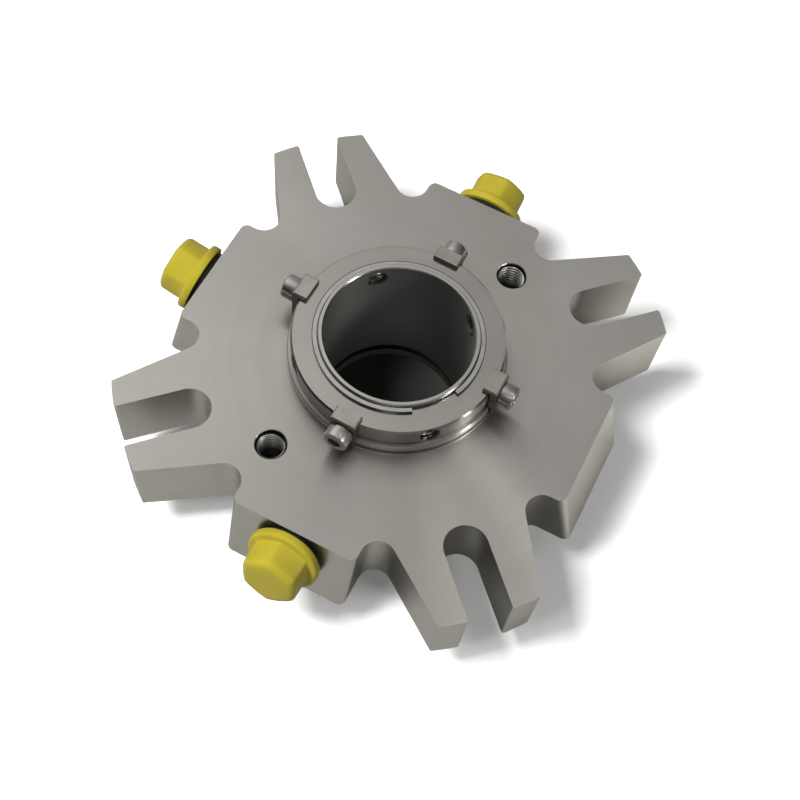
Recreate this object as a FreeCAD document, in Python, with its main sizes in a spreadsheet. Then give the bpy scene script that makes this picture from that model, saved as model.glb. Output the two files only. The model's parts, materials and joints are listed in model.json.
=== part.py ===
import FreeCAD, Part
import math
import os
import Sketcher

# Cartridge mechanical seal for a 60 mm shaft.
# The origin lies on the shaft axis, in the gland's mounting face. +Z points away
# from the machine. The bolt slots lie along X and Y, the port lugs midway between.
# All lengths are millimetres and all angles are degrees.

SIZES = [
    # gland plate outline
    ("plate_thick", 31, "thickness of the gland plate"),
    ("tip_radius", 113, "turned outer radius that the tine tips lie on"),
    ("bolt_circle_radius", 85, "radius of the bolts at the slot ends"),
    ("slot_width", 17.5, "width of a bolt slot"),
    ("scallop_radius", 7, "round root between a tine and a lug"),
    ("scallop_reach", 86.6, "distance of the root's centre from the axis"),
    ("scallop_turn", 22.5, "turn of the root's centre from the slot"),
    ("tine_taper", 10.5, "taper of a tine's outer side"),
    ("tine_corner", 1, "rounding of the tine tips"),
    ("lug_stand", 5.6, "lug beyond the roots' centres, at the outboard side"),
    ("lug_tilt", 14, "tilt of the lug faces and of the ports"),
    ("lug_corner", 3, "rounding of the lug corners"),
    # gland bores
    ("chamber_gap", 0.8, "gap between the carbon's flange and the chamber"),
    ("chamber_depth", 11, "depth of the chamber round the seal faces"),
    ("float_depth", 20, "depth of the bore that the carbon ring slides in"),
    ("web_gap", 1.2, "gap between the sleeve and the web behind the wave spring"),
    ("bushing_seat", 29.5, "height of the bushing's seat"),
    ("pilot_wall", 3.5, "wall of the spigot that enters the machine"),
    ("pilot_length", 3, "length of the spigot"),
    # gland neck
    ("neck_wall", 6, "wall of the neck round the bushing's recess"),
    ("neck_height", 6.8, "height of the neck above the plate"),
    ("neck_edge", 0.5, "chamfer of the neck's rims"),
    ("clip_groove_floor", 1.4, "height of the clip groove above the plate"),
    ("clip_groove_width", 2.6, "width of the clip groove"),
    ("clip_groove_depth", 2.2, "depth of the clip groove"),
    # tapped jacking holes
    ("jack_reach", 63.3, "distance of a jacking hole from the axis"),
    ("jack_turn", 22, "turn of a jacking hole from the slot"),
    ("jack_thread", 12, "thread of a jacking hole"),
    ("jack_mouth", 13.0, "countersunk mouth of a jacking hole"),
    # ports
    ("port_height", 18, "height of a port in the lug's face"),
    ("port_thread", 21, "thread of a port"),
    ("port_depth", 20, "depth of the port's thread"),
    ("port_cone", 5, "depth of the drill's cone past the thread"),
    ("flush_bore", 7, "passage from the flush port"),
    ("flush_run", 27, "length of that passage"),
    ("vent_bore", 5, "passage from the vent and the drain"),
    ("vent_run", 39.5, "length of those passages"),
    ("vent_exit", 26.5, "height at which those passages meet the web's bore"),
    # gasket
    ("gasket_step", 2, "step between the spigot and the gland gasket"),
    ("gasket_width", 5.5, "radial width of the gland gasket"),
    ("gasket_thick", 2, "thickness of the gland gasket"),
    # shaft sleeve
    ("bore_radius", 30, "radius of the shaft"),
    ("sleeve_wall", 2, "wall of the sleeve"),
    ("sleeve_stand", 18.8, "sleeve end above the plate"),
    ("sleeve_reach", 20, "sleeve end below the mounting face"),
    ("sleeve_edge", 0.4, "chamfer of the sleeve's ends"),
    ("flange_lip", 0.2, "flange beyond the rotary face"),
    ("flange_edge", 1.5, "chamfer of that flange"),
    ("shaft_ring_height", 6.3, "height of the shaft O-ring above the sleeve's foot"),
    ("shaft_ring_depth", 2.7, "depth of its groove"),
    ("shaft_ring_width", 4, "width of its groove"),
    # seal faces
    ("face_height", 2, "height of the sealing plane above the mounting face"),
    ("rotary_thick", 10, "thickness of the rotary face"),
    ("rotary_lip", 1.9, "rotary face beyond the carbon nose"),
    ("rotary_clear", 0.25, "gap between the rotary face and the sleeve"),
    ("carbon_gap", 1.6, "gap between the sleeve and the carbon ring"),
    ("carbon_wall", 6.4, "wall of the carbon ring"),
    ("carbon_back", 15.5, "thickness of the carbon ring"),
    ("nose_step", 1.8, "step between the carbon ring's bore and its nose"),
    ("nose_width", 4, "radial width of the carbon nose"),
    ("nose_height", 2, "height of the carbon nose"),
    ("carbon_lip", 4, "flange of the carbon ring beyond its bore in the gland"),
    ("carbon_flange_thick", 4, "thickness of that flange"),
    ("carbon_clear", 0.2, "gap between the carbon ring and its bore"),
    ("face_ring", 2.8, "section of the seal faces' O-rings"),
    ("face_ring_seat", 4.6, "centre of the carbon's O-ring below its back"),
    ("groove_ease", 0.4, "play of an O-ring along its groove"),
    ("ring_squeeze", 0.05, "gap between an O-ring and its walls"),
    ("pin_radius", 1.5, "radius of the drive and anti-rotation pins"),
    ("pin_ease", 0.2, "play of a pin in its notch"),
    ("drive_pin_inset", 2.7, "distance of a drive pin from the rotary face's rim"),
    ("drive_pin_sink", 6, "depth of a drive pin in the flange"),
    ("drive_pin_stand", 2.8, "height of a drive pin above the flange"),
    ("stop_pin_inset", 1.5, "distance of an anti-rotation pin from the carbon's rim"),
    ("stop_pin_sink", 6, "depth of an anti-rotation pin in the gland"),
    ("stop_pin_stand", 5.5, "height of an anti-rotation pin below its step"),
    # wave spring
    ("spring_step", 1.6, "step between the carbon ring's bore and the wave spring"),
    ("spring_width", 4, "radial width of the wave spring"),
    ("spring_thick", 0.6, "thickness of the wave spring's strip"),
    ("spring_waves", 4, "number of waves"),
    ("spring_seat", 0.05, "gap at the spring's crests"),
    # throttle bushing and its ring
    ("bushing_gap", 0.3, "running gap round the sleeve"),
    ("bushing_wall", 5.4, "wall of the throttle bushing"),
    ("bushing_float", 0.3, "gap round the bushing"),
    ("bushing_thick", 5.8, "thickness of the throttle bushing"),
    ("keeper_thick", 1.2, "thickness of the bushing's retaining ring"),
    ("keeper_width", 3.1, "radial width of the bushing's retaining ring"),
    ("keeper_bite", 1.4, "depth of its groove in the neck"),
    ("keeper_ease", 0.05, "play of a retaining ring in its groove"),
    ("keeper_gap", 20, "opening of the bushing's retaining ring"),
    # drive collar
    ("rotor_clock", -1.4, "turn of the rotating parts from the slots"),
    ("collar_gap", 0.8, "gap between the neck and the collar"),
    ("collar_height", 8.8, "height of the drive collar"),
    ("collar_wall", 10.5, "drive collar beyond the sleeve"),
    ("collar_edge", 0.7, "chamfer of the drive collar"),
    ("collar_fit", 0.02, "gap between the collar and the sleeve"),
    ("snap_thick", 1.2, "thickness of the sleeve's retaining ring"),
    ("snap_width", 2.85, "radial width of the sleeve's retaining ring"),
    ("snap_bite", 0.7, "depth of its groove in the sleeve"),
    ("snap_gap", 33, "opening of the sleeve's retaining ring"),
    ("snap_turn", -66.7, "turn of that opening's first end"),
    # set screws
    ("set_height", 4.4, "height of the radial screws above the collar's foot"),
    ("set_radius", 4, "radius of a set screw"),
    ("set_length", 9.8, "length of a set screw"),
    ("set_recess", 2, "depth of a set screw below the collar's side"),
    ("set_socket", 4, "hexagon across flats in a set screw"),
    ("set_socket_depth", 4, "depth of that hexagon"),
    ("set_mouth", 0.4, "chamfer at the mouth of a screw hole"),
    ("thread_ease", 0.03, "gap between a thread and its hole"),
    ("set_hole_ease", 0.3, "gap round a set screw in the sleeve"),
    # setting clips
    ("clip_width", 10.8, "width of a setting clip"),
    ("clip_bite", 3.3, "reach of the clip's upper lip over the collar"),
    ("clip_wall", 1.1, "thickness of the clip's leg beside the neck"),
    ("clip_lip_thick", 2, "thickness of the clip's upper lip"),
    ("clip_leg_gap", 0.2, "gap between the clip's leg and the collar"),
    ("clip_ring_gap", 0.3, "gap between the clip's leg and the neck"),
    ("clip_hook_gap", 0.2, "play of the clip's hook in the groove"),
    ("clip_hook_bite", 1.7, "reach of the clip's hook into the groove"),
    ("clip_edge", 0.6, "chamfer of the clip's outer edges"),
    ("clip_seat", 0.02, "gap between the clip's lip and the collar"),
    # clip screws
    ("cap_thread", 3, "radius of a clip screw"),
    ("cap_hole", 3.3, "radius of the clip's hole"),
    ("cap_length", 10, "length of a clip screw below its head"),
    ("cap_head_radius", 5, "radius of a clip screw's head"),
    ("cap_head_height", 6, "height of a clip screw's head"),
    ("cap_head_edge", 0.5, "chamfer of the head"),
    ("cap_socket", 5, "hexagon across flats in the head"),
    ("cap_socket_depth", 3.2, "depth of that hexagon"),
    ("cap_hole_extra", 1, "depth of the collar's hole past the screw"),
    # port plugs
    ("plug_seal_thick", 2.2, "thickness of a plug's sealing ring"),
    ("plug_seal_radius", 13.2, "outer radius of a plug's sealing ring"),
    ("plug_seal_bore", 10.6, "inner radius of a plug's sealing ring"),
    ("plug_flange_radius", 14.8, "radius of a plug's flange"),
    ("plug_flange_thick", 3.6, "thickness of a plug's flange"),
    ("plug_flange_edge", 1.1, "rounding of a plug's flange"),
    ("plug_hex", 22.4, "hexagon across flats of a plug's head"),
    ("plug_hex_height", 11.3, "height of a plug's head"),
    ("plug_hex_edge", 1.2, "rounding of a plug's head"),
    ("plug_shank_radius", 10.4, "radius of a plug's threaded shank"),
    ("plug_shank_length", 11, "length of a plug's shank in the port"),
    ("plug_shank_wall", 2.4, "wall of a plug's shank"),
    ("plug_shank_edge", 1, "chamfer of a plug's shank"),
    # gaps
    ("cut_over", 2, "length that a cut runs past a face"),
]

QUARTER = 90
SLOT_AZIMUTHS = [0, 90, 180, 270]
LUG_AZIMUTHS = [45, 135, 225, 315]
PORT_AZIMUTHS = [45, 135, 225]
HEX_SIDES = 6
PLUG_TURNS = [15, 3, 6]

# levels above the mounting face
NECK_TOP = "plate_thick + neck_height"
GROOVE_LOW = "plate_thick + clip_groove_floor"
GROOVE_HIGH = GROOVE_LOW + " + clip_groove_width"
COLLAR_FOOT = NECK_TOP + " + collar_gap"
COLLAR_TOP = COLLAR_FOOT + " + collar_height"
SCREW_LEVEL = COLLAR_FOOT + " + set_height"
SLEEVE_TOP = "plate_thick + sleeve_stand"
SLEEVE_FOOT = "0 - sleeve_reach"
FLANGE_TOP = "face_height - rotary_thick"
CARBON_BACK = "face_height + carbon_back"
CARBON_RING_LEVEL = CARBON_BACK + " - face_ring_seat"
KEEPER_FOOT = "bushing_seat + bushing_thick + keeper_ease"
SHAFT_RING_LEVEL = SLEEVE_FOOT + " + shaft_ring_height"

# radii
SLEEVE_OUTER = "bore_radius + sleeve_wall"
CARBON_INNER = SLEEVE_OUTER + " + carbon_gap"
CARBON_OUTER = CARBON_INNER + " + carbon_wall"
FLOAT_RADIUS = CARBON_OUTER + " + carbon_clear"
CARBON_FLANGE = FLOAT_RADIUS + " + carbon_lip"
NOSE_INNER = CARBON_INNER + " + nose_step"
NOSE_OUTER = NOSE_INNER + " + nose_width"
ROTARY_RADIUS = NOSE_OUTER + " + rotary_lip"
FLANGE_RADIUS = ROTARY_RADIUS + " + flange_lip"
DRIVE_PIN_REACH = ROTARY_RADIUS + " - drive_pin_inset"
STOP_PIN_REACH = CARBON_FLANGE + " - stop_pin_inset"
CHAMBER_RADIUS = CARBON_FLANGE + " + chamber_gap"
PILOT_RADIUS = CHAMBER_RADIUS + " + pilot_wall"
GASKET_INNER = PILOT_RADIUS + " + gasket_step"
GASKET_OUTER = GASKET_INNER + " + gasket_width"
WEB_RADIUS = SLEEVE_OUTER + " + web_gap"
BUSHING_OUTER = SLEEVE_OUTER + " + bushing_gap + bushing_wall"
RECESS_RADIUS = BUSHING_OUTER + " + bushing_float"
NECK_RADIUS = RECESS_RADIUS + " + neck_wall"
KEEPER_OUTER = RECESS_RADIUS + " + keeper_bite"
COLLAR_RADIUS = SLEEVE_OUTER + " + collar_wall"
CLIP_OUTER = NECK_RADIUS + " + clip_ring_gap + clip_wall"
CLIP_LIP = COLLAR_RADIUS + " - clip_bite"
CLIP_HOOK = NECK_RADIUS + " - clip_hook_bite"
SNAP_INNER = SLEEVE_OUTER + " - snap_bite + keeper_ease"

doc = FreeCAD.newDocument("cartridge_seal")
sheet = doc.addObject("Spreadsheet::Sheet", "dims")
for row, (alias, value, meaning) in enumerate(SIZES, 1):
    sheet.set("A%d" % row, meaning)
    sheet.set("B%d" % row, str(value))
    sheet.setAlias("B%d" % row, alias)
doc.recompute()
pieces = []


def number(text):
    """The present value of a sum or difference of named sizes, each with * or / a number."""
    total = 0.0
    sign = 1
    term = None
    action = "*"
    for word in text.split():
        if word in "+-":
            total += sign * term
            sign = 1 if word == "+" else -1
            term = None
        elif word in "*/":
            action = word
        else:
            amount = sheet.get(word) if word[0].isalpha() else float(word)
            if term is None:
                term = amount
            elif action == "*":
                term *= amount
            else:
                term /= amount
    return total + sign * term


def formula(text):
    """The same sum as an expression that reads the sheet."""
    return " ".join("dims." + word if word[0].isalpha() else word for word in text.split())


def turn_z(azimuth):
    return FreeCAD.Rotation(FreeCAD.Vector(0, 0, 1), azimuth)


def section(azimuth):
    """Placement of a sketch on the plane through the axis, x outward and y up."""
    upright = FreeCAD.Rotation(FreeCAD.Vector(1, 0, 0), 90)
    return FreeCAD.Placement(FreeCAD.Vector(), turn_z(azimuth) * upright)


def level(height, azimuth=0):
    """Placement of a sketch flat at a height."""
    return FreeCAD.Placement(FreeCAD.Vector(0, 0, height), turn_z(azimuth))


def along(azimuth, reach, height, tilt=0):
    """Placement in the section plane, x along an outward axis tilted up."""
    lean = FreeCAD.Placement(FreeCAD.Vector(reach, height, 0),
                             FreeCAD.Rotation(FreeCAD.Vector(0, 0, 1), tilt))
    return section(azimuth) * lean


def outward(azimuth, reach, height, tilt=0, spin=0):
    """Placement of a piece whose own z axis is to point outward, tilted up."""
    arm = FreeCAD.Placement(FreeCAD.Vector(reach, 0, height),
                            FreeCAD.Rotation(FreeCAD.Vector(0, 1, 0), 90 - tilt))
    return FreeCAD.Placement(FreeCAD.Vector(), turn_z(azimuth)) * arm * FreeCAD.Placement(
        FreeCAD.Vector(), turn_z(spin))


def new_body(label):
    body = doc.addObject("PartDesign::Body", label)
    body.Label = label
    pieces.append(body)
    return body


def origin_part(body, role):
    return [part for part in body.Origin.OriginFeatures if part.Role == role][0]


def new_sketch(body, name, seat):
    sketch = body.newObject("Sketcher::SketchObject", name)
    sketch.AttachmentSupport = (origin_part(body, "XY_Plane"), [""])
    sketch.MapMode = "FlatFace"
    sketch.AttachmentOffset = seat
    return sketch


def hold(sketch, kind, *where, by):
    """Add a constraint whose value is a sum of named sizes."""
    index = sketch.addConstraint(Sketcher.Constraint(kind, *where, number(by)))
    sketch.setExpression("Constraints[%d]" % index, formula(by))


def hold_angle(sketch, line, degrees_text, degrees):
    """Fix a line's angle from the sketch's x axis."""
    index = sketch.addConstraint(Sketcher.Constraint("Angle", line, math.radians(degrees)))
    sketch.setExpression("Constraints[%d]" % index, degrees_text)


def polygon(sketch, points):
    """A closed outline whose corners each have two distances from the origin."""
    spots = [FreeCAD.Vector(number(across), number(up), 0) for across, up in points]
    ends = spots[1:] + spots[:1]
    lines = sketch.addGeometry([Part.LineSegment(a, b) for a, b in zip(spots, ends)], False)
    for line, follower in zip(lines, lines[1:] + lines[:1]):
        sketch.addConstraint(Sketcher.Constraint("Coincident", line, 2, follower, 1))
    for line, (across, up) in zip(lines, points):
        hold(sketch, "DistanceX", -1, 1, line, 1, by=across)
        hold(sketch, "DistanceY", -1, 1, line, 1, by=up)


def circle(sketch, across, up, radius):
    spot = FreeCAD.Vector(number(across), number(up), 0)
    index = sketch.addGeometry(Part.Circle(spot, FreeCAD.Vector(0, 0, 1), number(radius)), False)
    hold(sketch, "DistanceX", -1, 1, index, 3, by=across)
    hold(sketch, "DistanceY", -1, 1, index, 3, by=up)
    hold(sketch, "Radius", index, by=radius)


def hexagon(sketch, across_flats):
    """A regular hexagon about the origin with a corner on the x axis."""
    radius = number(across_flats) / math.sqrt(3)
    ring = sketch.addGeometry(Part.Circle(FreeCAD.Vector(), FreeCAD.Vector(0, 0, 1), radius), True)
    step = 2 * math.pi / HEX_SIDES
    spots = [FreeCAD.Vector(radius * math.cos(k * step), radius * math.sin(k * step), 0)
             for k in range(HEX_SIDES)]
    ends = spots[1:] + spots[:1]
    lines = sketch.addGeometry([Part.LineSegment(a, b) for a, b in zip(spots, ends)], False)
    sketch.addConstraint(Sketcher.Constraint("Coincident", ring, 3, -1, 1))
    for line, follower in zip(lines, lines[1:] + lines[:1]):
        sketch.addConstraint(Sketcher.Constraint("Coincident", line, 2, follower, 1))
        sketch.addConstraint(Sketcher.Constraint("PointOnObject", line, 1, ring))
    for line in lines[1:]:
        sketch.addConstraint(Sketcher.Constraint("Equal", lines[0], line))
    sketch.addConstraint(Sketcher.Constraint("PointOnObject", lines[0], 1, -1))
    index = sketch.addConstraint(Sketcher.Constraint("Radius", ring, radius))
    sketch.setExpression("Constraints[%d]" % index, "(" + formula(across_flats) + ") / sqrt(3)")


def add_feature(body, kind, name, sketch):
    feature = body.newObject("PartDesign::" + kind, name)
    feature.Profile = sketch
    body.Tip = feature
    return feature


def extrude(body, kind, name, sketch, length, both_ways=False):
    """Pad a sketch up its normal, or Pocket it down; both_ways centres it on the sketch."""
    feature = add_feature(body, kind, name, sketch)
    feature.Type = "Length"
    feature.Length = number(length)
    feature.setExpression("Length", formula(length))
    feature.SideType = "Symmetric" if both_ways else "One side"
    doc.recompute()
    return feature


def turned(body, kind, name, points, seat=None, axis="V_Axis", sweep=360):
    """Turn a closed outline about an axis of its sketch, as a Revolution or a Groove."""
    sketch = new_sketch(body, name + "_outline", seat or section(0))
    polygon(sketch, points)
    feature = add_feature(body, kind, name, sketch)
    feature.ReferenceAxis = (sketch, [axis])
    feature.Angle = sweep
    doc.recompute()
    return feature


def drilled(body, name, seat, points):
    """Cut a hole whose half section is given as distance along its axis and radius."""
    return turned(body, "Groove", name, points, seat=seat, axis="H_Axis")


def around(body, name, features, count, sweep=360):
    """Repeat features about the axis."""
    pattern = body.newObject("PartDesign::PolarPattern", name)
    pattern.Originals = features
    pattern.Axis = (origin_part(body, "Z_Axis"), [""])
    pattern.Angle = sweep
    pattern.Occurrences = count
    body.Tip = pattern
    doc.recompute()
    return pattern


def edges_where(shape, test):
    return ["Edge%d" % n for n, edge in enumerate(shape.Edges, 1) if test(edge)]


def dress(body, kind, name, test, size):
    """Fillet or chamfer the edges of the body's last shape that pass a test."""
    base = body.Tip
    feature = body.newObject("PartDesign::" + kind, name)
    feature.Base = (base, edges_where(base.Shape, test))
    prop = "Radius" if kind == "Fillet" else "Size"
    setattr(feature, prop, number(size))
    feature.setExpression(prop, formula(size))
    body.Tip = feature
    doc.recompute()
    return feature


def runs_upright(edge, low, high):
    """True for a straight edge that runs from one level to the other."""
    ends = sorted(vertex.Point.z for vertex in edge.Vertexes)
    close = 1e-4
    return len(ends) == 2 and abs(ends[0] - low) < close and abs(ends[1] - high) < close


def notch(body, side):
    """The gap between a tine and the next lug, on one side of the slot along X."""
    sketch = new_sketch(body, "notch_outline_%s" % ("left" if side > 0 else "right"),
                        level(number("plate_thick + cut_over")))
    radius = number("scallop_radius")
    reach = number("scallop_reach")
    turn = math.radians(number("scallop_turn"))
    taper = math.radians(number("tine_taper"))
    lug = 2 * turn
    far = number("tip_radius + cut_over")
    root = FreeCAD.Vector(reach * math.cos(turn), reach * math.sin(turn), 0)
    at_lug = root + FreeCAD.Vector(-math.sin(lug), math.cos(lug), 0) * radius
    at_tine = root - FreeCAD.Vector(math.sin(taper), math.cos(taper), 0) * radius
    lug_end = at_lug + FreeCAD.Vector(math.cos(lug), math.sin(lug), 0) * (far - root.x)
    tine_end = at_tine + FreeCAD.Vector(1, -math.tan(taper), 0) * (far - at_tine.x)
    spots = [FreeCAD.Vector(p.x, side * p.y, 0) for p in (root, at_lug, lug_end, tine_end, at_tine)]
    root, at_lug, lug_end, tine_end, at_tine = spots
    start = math.atan2(at_lug.y - root.y, at_lug.x - root.x)
    stop = math.atan2(at_tine.y - root.y, at_tine.x - root.x)
    if side < 0:
        start, stop = stop, start
    while stop < start:
        stop += 2 * math.pi
    bend = Part.ArcOfCircle(Part.Circle(root, FreeCAD.Vector(0, 0, 1), radius), start, stop)
    arc, tine_side, mouth, lug_side = sketch.addGeometry([
        bend,
        Part.LineSegment(at_tine, tine_end),
        Part.LineSegment(tine_end, lug_end),
        Part.LineSegment(lug_end, at_lug)], False)
    tine_join, lug_join = (2, 1) if side > 0 else (1, 2)
    sketch.addConstraint([
        Sketcher.Constraint("Tangent", arc, tine_join, tine_side, 1),
        Sketcher.Constraint("Coincident", tine_side, 2, mouth, 1),
        Sketcher.Constraint("Coincident", mouth, 2, lug_side, 1),
        Sketcher.Constraint("Tangent", lug_side, 2, arc, lug_join)])
    hold(sketch, "Radius", arc, by="scallop_radius")
    sign = "" if side > 0 else "0 - "
    turn_text = "dims.scallop_reach * %s(dims.scallop_turn * 1 deg)"
    for kind, place, wave, lead in (("DistanceX", root.x, "cos", ""), ("DistanceY", root.y, "sin", sign)):
        index = sketch.addConstraint(Sketcher.Constraint(kind, -1, 1, arc, 3, place))
        sketch.setExpression("Constraints[%d]" % index, lead + turn_text % wave)
    hold_angle(sketch, tine_side, "%sdims.tine_taper * 1 deg" % ("0 deg - " if side > 0 else ""),
               -side * number("tine_taper"))
    lug_angle = sketch.addConstraint(Sketcher.Constraint("Angle", lug_side, math.atan2(
        at_lug.y - lug_end.y, at_lug.x - lug_end.x)))
    doubled = "2 * dims.scallop_turn * 1 deg"
    sketch.setExpression("Constraints[%d]" % lug_angle,
                         (doubled + " - 180 deg") if side > 0 else ("180 deg - " + doubled))
    hold(sketch, "DistanceX", -1, 1, tine_side, 2, by="tip_radius + cut_over")
    reach_along = sketch.addConstraint(
        Sketcher.Constraint("Distance", lug_side, lug_end.distanceToPoint(at_lug)))
    sketch.setExpression("Constraints[%d]" % reach_along,
                         "dims.tip_radius + dims.cut_over - " + turn_text % "cos")
    return extrude(body, "Pocket", "notch_%s" % ("left" if side > 0 else "right"), sketch,
                   "plate_thick + 2 * cut_over")


def lug_half():
    """Half the width of a lug: its sides are tangent to the round roots."""
    turn = math.radians(number("scallop_turn"))
    return number("scallop_reach") * math.sin(turn) - number("scallop_radius")


def lug_face_reach(height):
    """Distance of a lug's tilted face from the axis at a height."""
    slope = math.tan(math.radians(number("lug_tilt")))
    roots = number("scallop_reach") * math.cos(math.radians(number("scallop_turn")))
    return roots + number("lug_stand") + (number("plate_thick") - height) * slope


def port_seat(azimuth):
    height = number("port_height")
    return along(azimuth, lug_face_reach(height), height, number("lug_tilt"))


def gland_outline(body):
    """The toothed outline: slots, notches, tilted lug faces and rounded corners."""
    disc = new_sketch(body, "blank_outline", level(0))
    circle(disc, "0", "0", "tip_radius")
    extrude(body, "Pad", "blank", disc, "plate_thick")
    over = number("plate_thick + cut_over")
    mouth = new_sketch(body, "slot_outline", level(over))
    polygon(mouth, [
        ("bolt_circle_radius", "0 - slot_width / 2"),
        ("tip_radius + cut_over", "0 - slot_width / 2"),
        ("tip_radius + cut_over", "slot_width / 2"),
        ("bolt_circle_radius", "slot_width / 2")])
    slot = extrude(body, "Pocket", "slot", mouth, "plate_thick + 2 * cut_over")
    end = new_sketch(body, "slot_end_outline", level(over))
    circle(end, "bolt_circle_radius", "0", "slot_width / 2")
    slot_end = extrude(body, "Pocket", "slot_end", end, "plate_thick + 2 * cut_over")
    around(body, "slots", [slot, slot_end, notch(body, 1), notch(body, -1)], len(SLOT_AZIMUTHS))
    tine_tips(body)
    wedge = new_sketch(body, "lug_face_outline", section(LUG_AZIMUTHS[0]))
    lug_face(wedge)
    flat = extrude(body, "Pocket", "lug_face", wedge, "scallop_reach", both_ways=True)
    flat.setExpression("Length", "2 * dims.scallop_reach * sin(dims.scallop_turn * 1 deg)")
    around(body, "lug_faces", [flat], len(LUG_AZIMUTHS))


def lug_face(sketch):
    """The wedge outside a lug's tilted face, in the lug's own section."""
    spots = [FreeCAD.Vector(lug_face_reach(height), height, 0)
             for height in (number("0 - cut_over"), number("plate_thick + cut_over"))]
    far = number("tip_radius + cut_over")
    spots += [FreeCAD.Vector(far, spots[1].y, 0), FreeCAD.Vector(far, spots[0].y, 0)]
    ends = spots[1:] + spots[:1]
    lines = sketch.addGeometry([Part.LineSegment(a, b) for a, b in zip(spots, ends)], False)
    for line, follower in zip(lines, lines[1:] + lines[:1]):
        sketch.addConstraint(Sketcher.Constraint("Coincident", line, 2, follower, 1))
    sketch.addConstraint([
        Sketcher.Constraint("Horizontal", lines[1]),
        Sketcher.Constraint("Horizontal", lines[3]),
        Sketcher.Constraint("Vertical", lines[2])])
    hold(sketch, "DistanceY", -1, 1, lines[0], 1, by="0 - cut_over")
    hold(sketch, "DistanceY", -1, 1, lines[1], 1, by="plate_thick + cut_over")
    hold(sketch, "DistanceX", -1, 1, lines[2], 1, by="tip_radius + cut_over")
    reach = "dims.scallop_reach * cos(dims.scallop_turn * 1 deg) + dims.lug_stand"
    slope = "tan(dims.lug_tilt * 1 deg)"
    index = sketch.addConstraint(Sketcher.Constraint("DistanceX", -1, 1, lines[1], 1, spots[1].x))
    sketch.setExpression("Constraints[%d]" % index, reach + " - dims.cut_over * " + slope)
    index = sketch.addConstraint(Sketcher.Constraint("DistanceX", -1, 1, lines[0], 1, spots[0].x))
    sketch.setExpression("Constraints[%d]" % index,
                         reach + " + (dims.plate_thick + dims.cut_over) * " + slope)


def tine_tips(body):
    """Round the upright edges where the slots and notches leave the turned rim."""
    low, high, rim = 0, number("plate_thick"), number("tip_radius")

    def on_tine(edge):
        if not runs_upright(edge, low, high):
            return False
        spot = edge.Vertexes[0].Point
        azimuth = abs(math.degrees(math.atan2(spot.y, spot.x))) % QUARTER
        from_slot = min(azimuth, QUARTER - azimuth)
        return abs(math.hypot(spot.x, spot.y) - rim) < 1e-3 and from_slot < number("scallop_turn") * 0.7

    dress(body, "Fillet", "tine_corners", on_tine, "tine_corner")


def lug_corners(body):
    """Round the edges between each tilted lug face and the lug's sides."""
    high = number("plate_thick")
    half = lug_half()

    def on_lug(edge):
        if not runs_upright(edge, 0, high):
            return False
        for azimuth in LUG_AZIMUTHS:
            ends = [turn_z(-azimuth).multVec(vertex.Point) for vertex in edge.Vertexes]
            if all(abs(abs(p.y) - half) < 1e-3 and abs(p.x - lug_face_reach(p.z)) < 1e-3 for p in ends):
                return True
        return False

    dress(body, "Fillet", "lug_corners", on_lug, "lug_corner")


def gland_plate():
    """The forged and turned gland: slotted plate, neck, spigot, bores, ports and jacking holes."""
    body = new_body("gland_plate")
    gland_outline(body)
    lug_corners(body)
    turned(body, "Revolution", "neck", [
        ("0", "plate_thick / 2"), (NECK_RADIUS, "plate_thick / 2"),
        (NECK_RADIUS, NECK_TOP + " - neck_edge"), (NECK_RADIUS + " - neck_edge", NECK_TOP), ("0", NECK_TOP)])
    turned(body, "Revolution", "spigot", [
        ("0", "plate_thick / 4"), (PILOT_RADIUS, "plate_thick / 4"),
        (PILOT_RADIUS, "neck_edge - pilot_length"),
        (PILOT_RADIUS + " - neck_edge", "0 - pilot_length"), ("0", "0 - pilot_length")])
    turned(body, "Groove", "bores", [
        ("0", "0 - pilot_length - cut_over"), (CHAMBER_RADIUS, "0 - pilot_length - cut_over"),
        (CHAMBER_RADIUS, "chamber_depth"), (FLOAT_RADIUS, "chamber_depth"),
        (FLOAT_RADIUS, "float_depth"), (WEB_RADIUS, "float_depth"),
        (WEB_RADIUS, "bushing_seat"), (RECESS_RADIUS, "bushing_seat"),
        (RECESS_RADIUS, NECK_TOP + " + cut_over"), ("0", NECK_TOP + " + cut_over")])
    turned(body, "Groove", "clip_groove", [
        (NECK_RADIUS + " - clip_groove_depth", GROOVE_LOW), (NECK_RADIUS + " + cut_over", GROOVE_LOW),
        (NECK_RADIUS + " + cut_over", GROOVE_HIGH), (NECK_RADIUS + " - clip_groove_depth", GROOVE_HIGH)])
    turned(body, "Groove", "keeper_groove", [
        (WEB_RADIUS, KEEPER_FOOT + " - keeper_ease"), (KEEPER_OUTER, KEEPER_FOOT + " - keeper_ease"),
        (KEEPER_OUTER, KEEPER_FOOT + " + keeper_thick + keeper_ease"),
        (WEB_RADIUS, KEEPER_FOOT + " + keeper_thick + keeper_ease")])
    turned(body, "Groove", "gasket_recess", [
        (GASKET_INNER, "0 - cut_over"), (GASKET_OUTER, "0 - cut_over"),
        (GASKET_OUTER, "gasket_thick"), (GASKET_INNER, "gasket_thick")])
    gland_ports(body)
    jacking_holes(body)
    stop_pin_holes(body)
    return body


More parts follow.
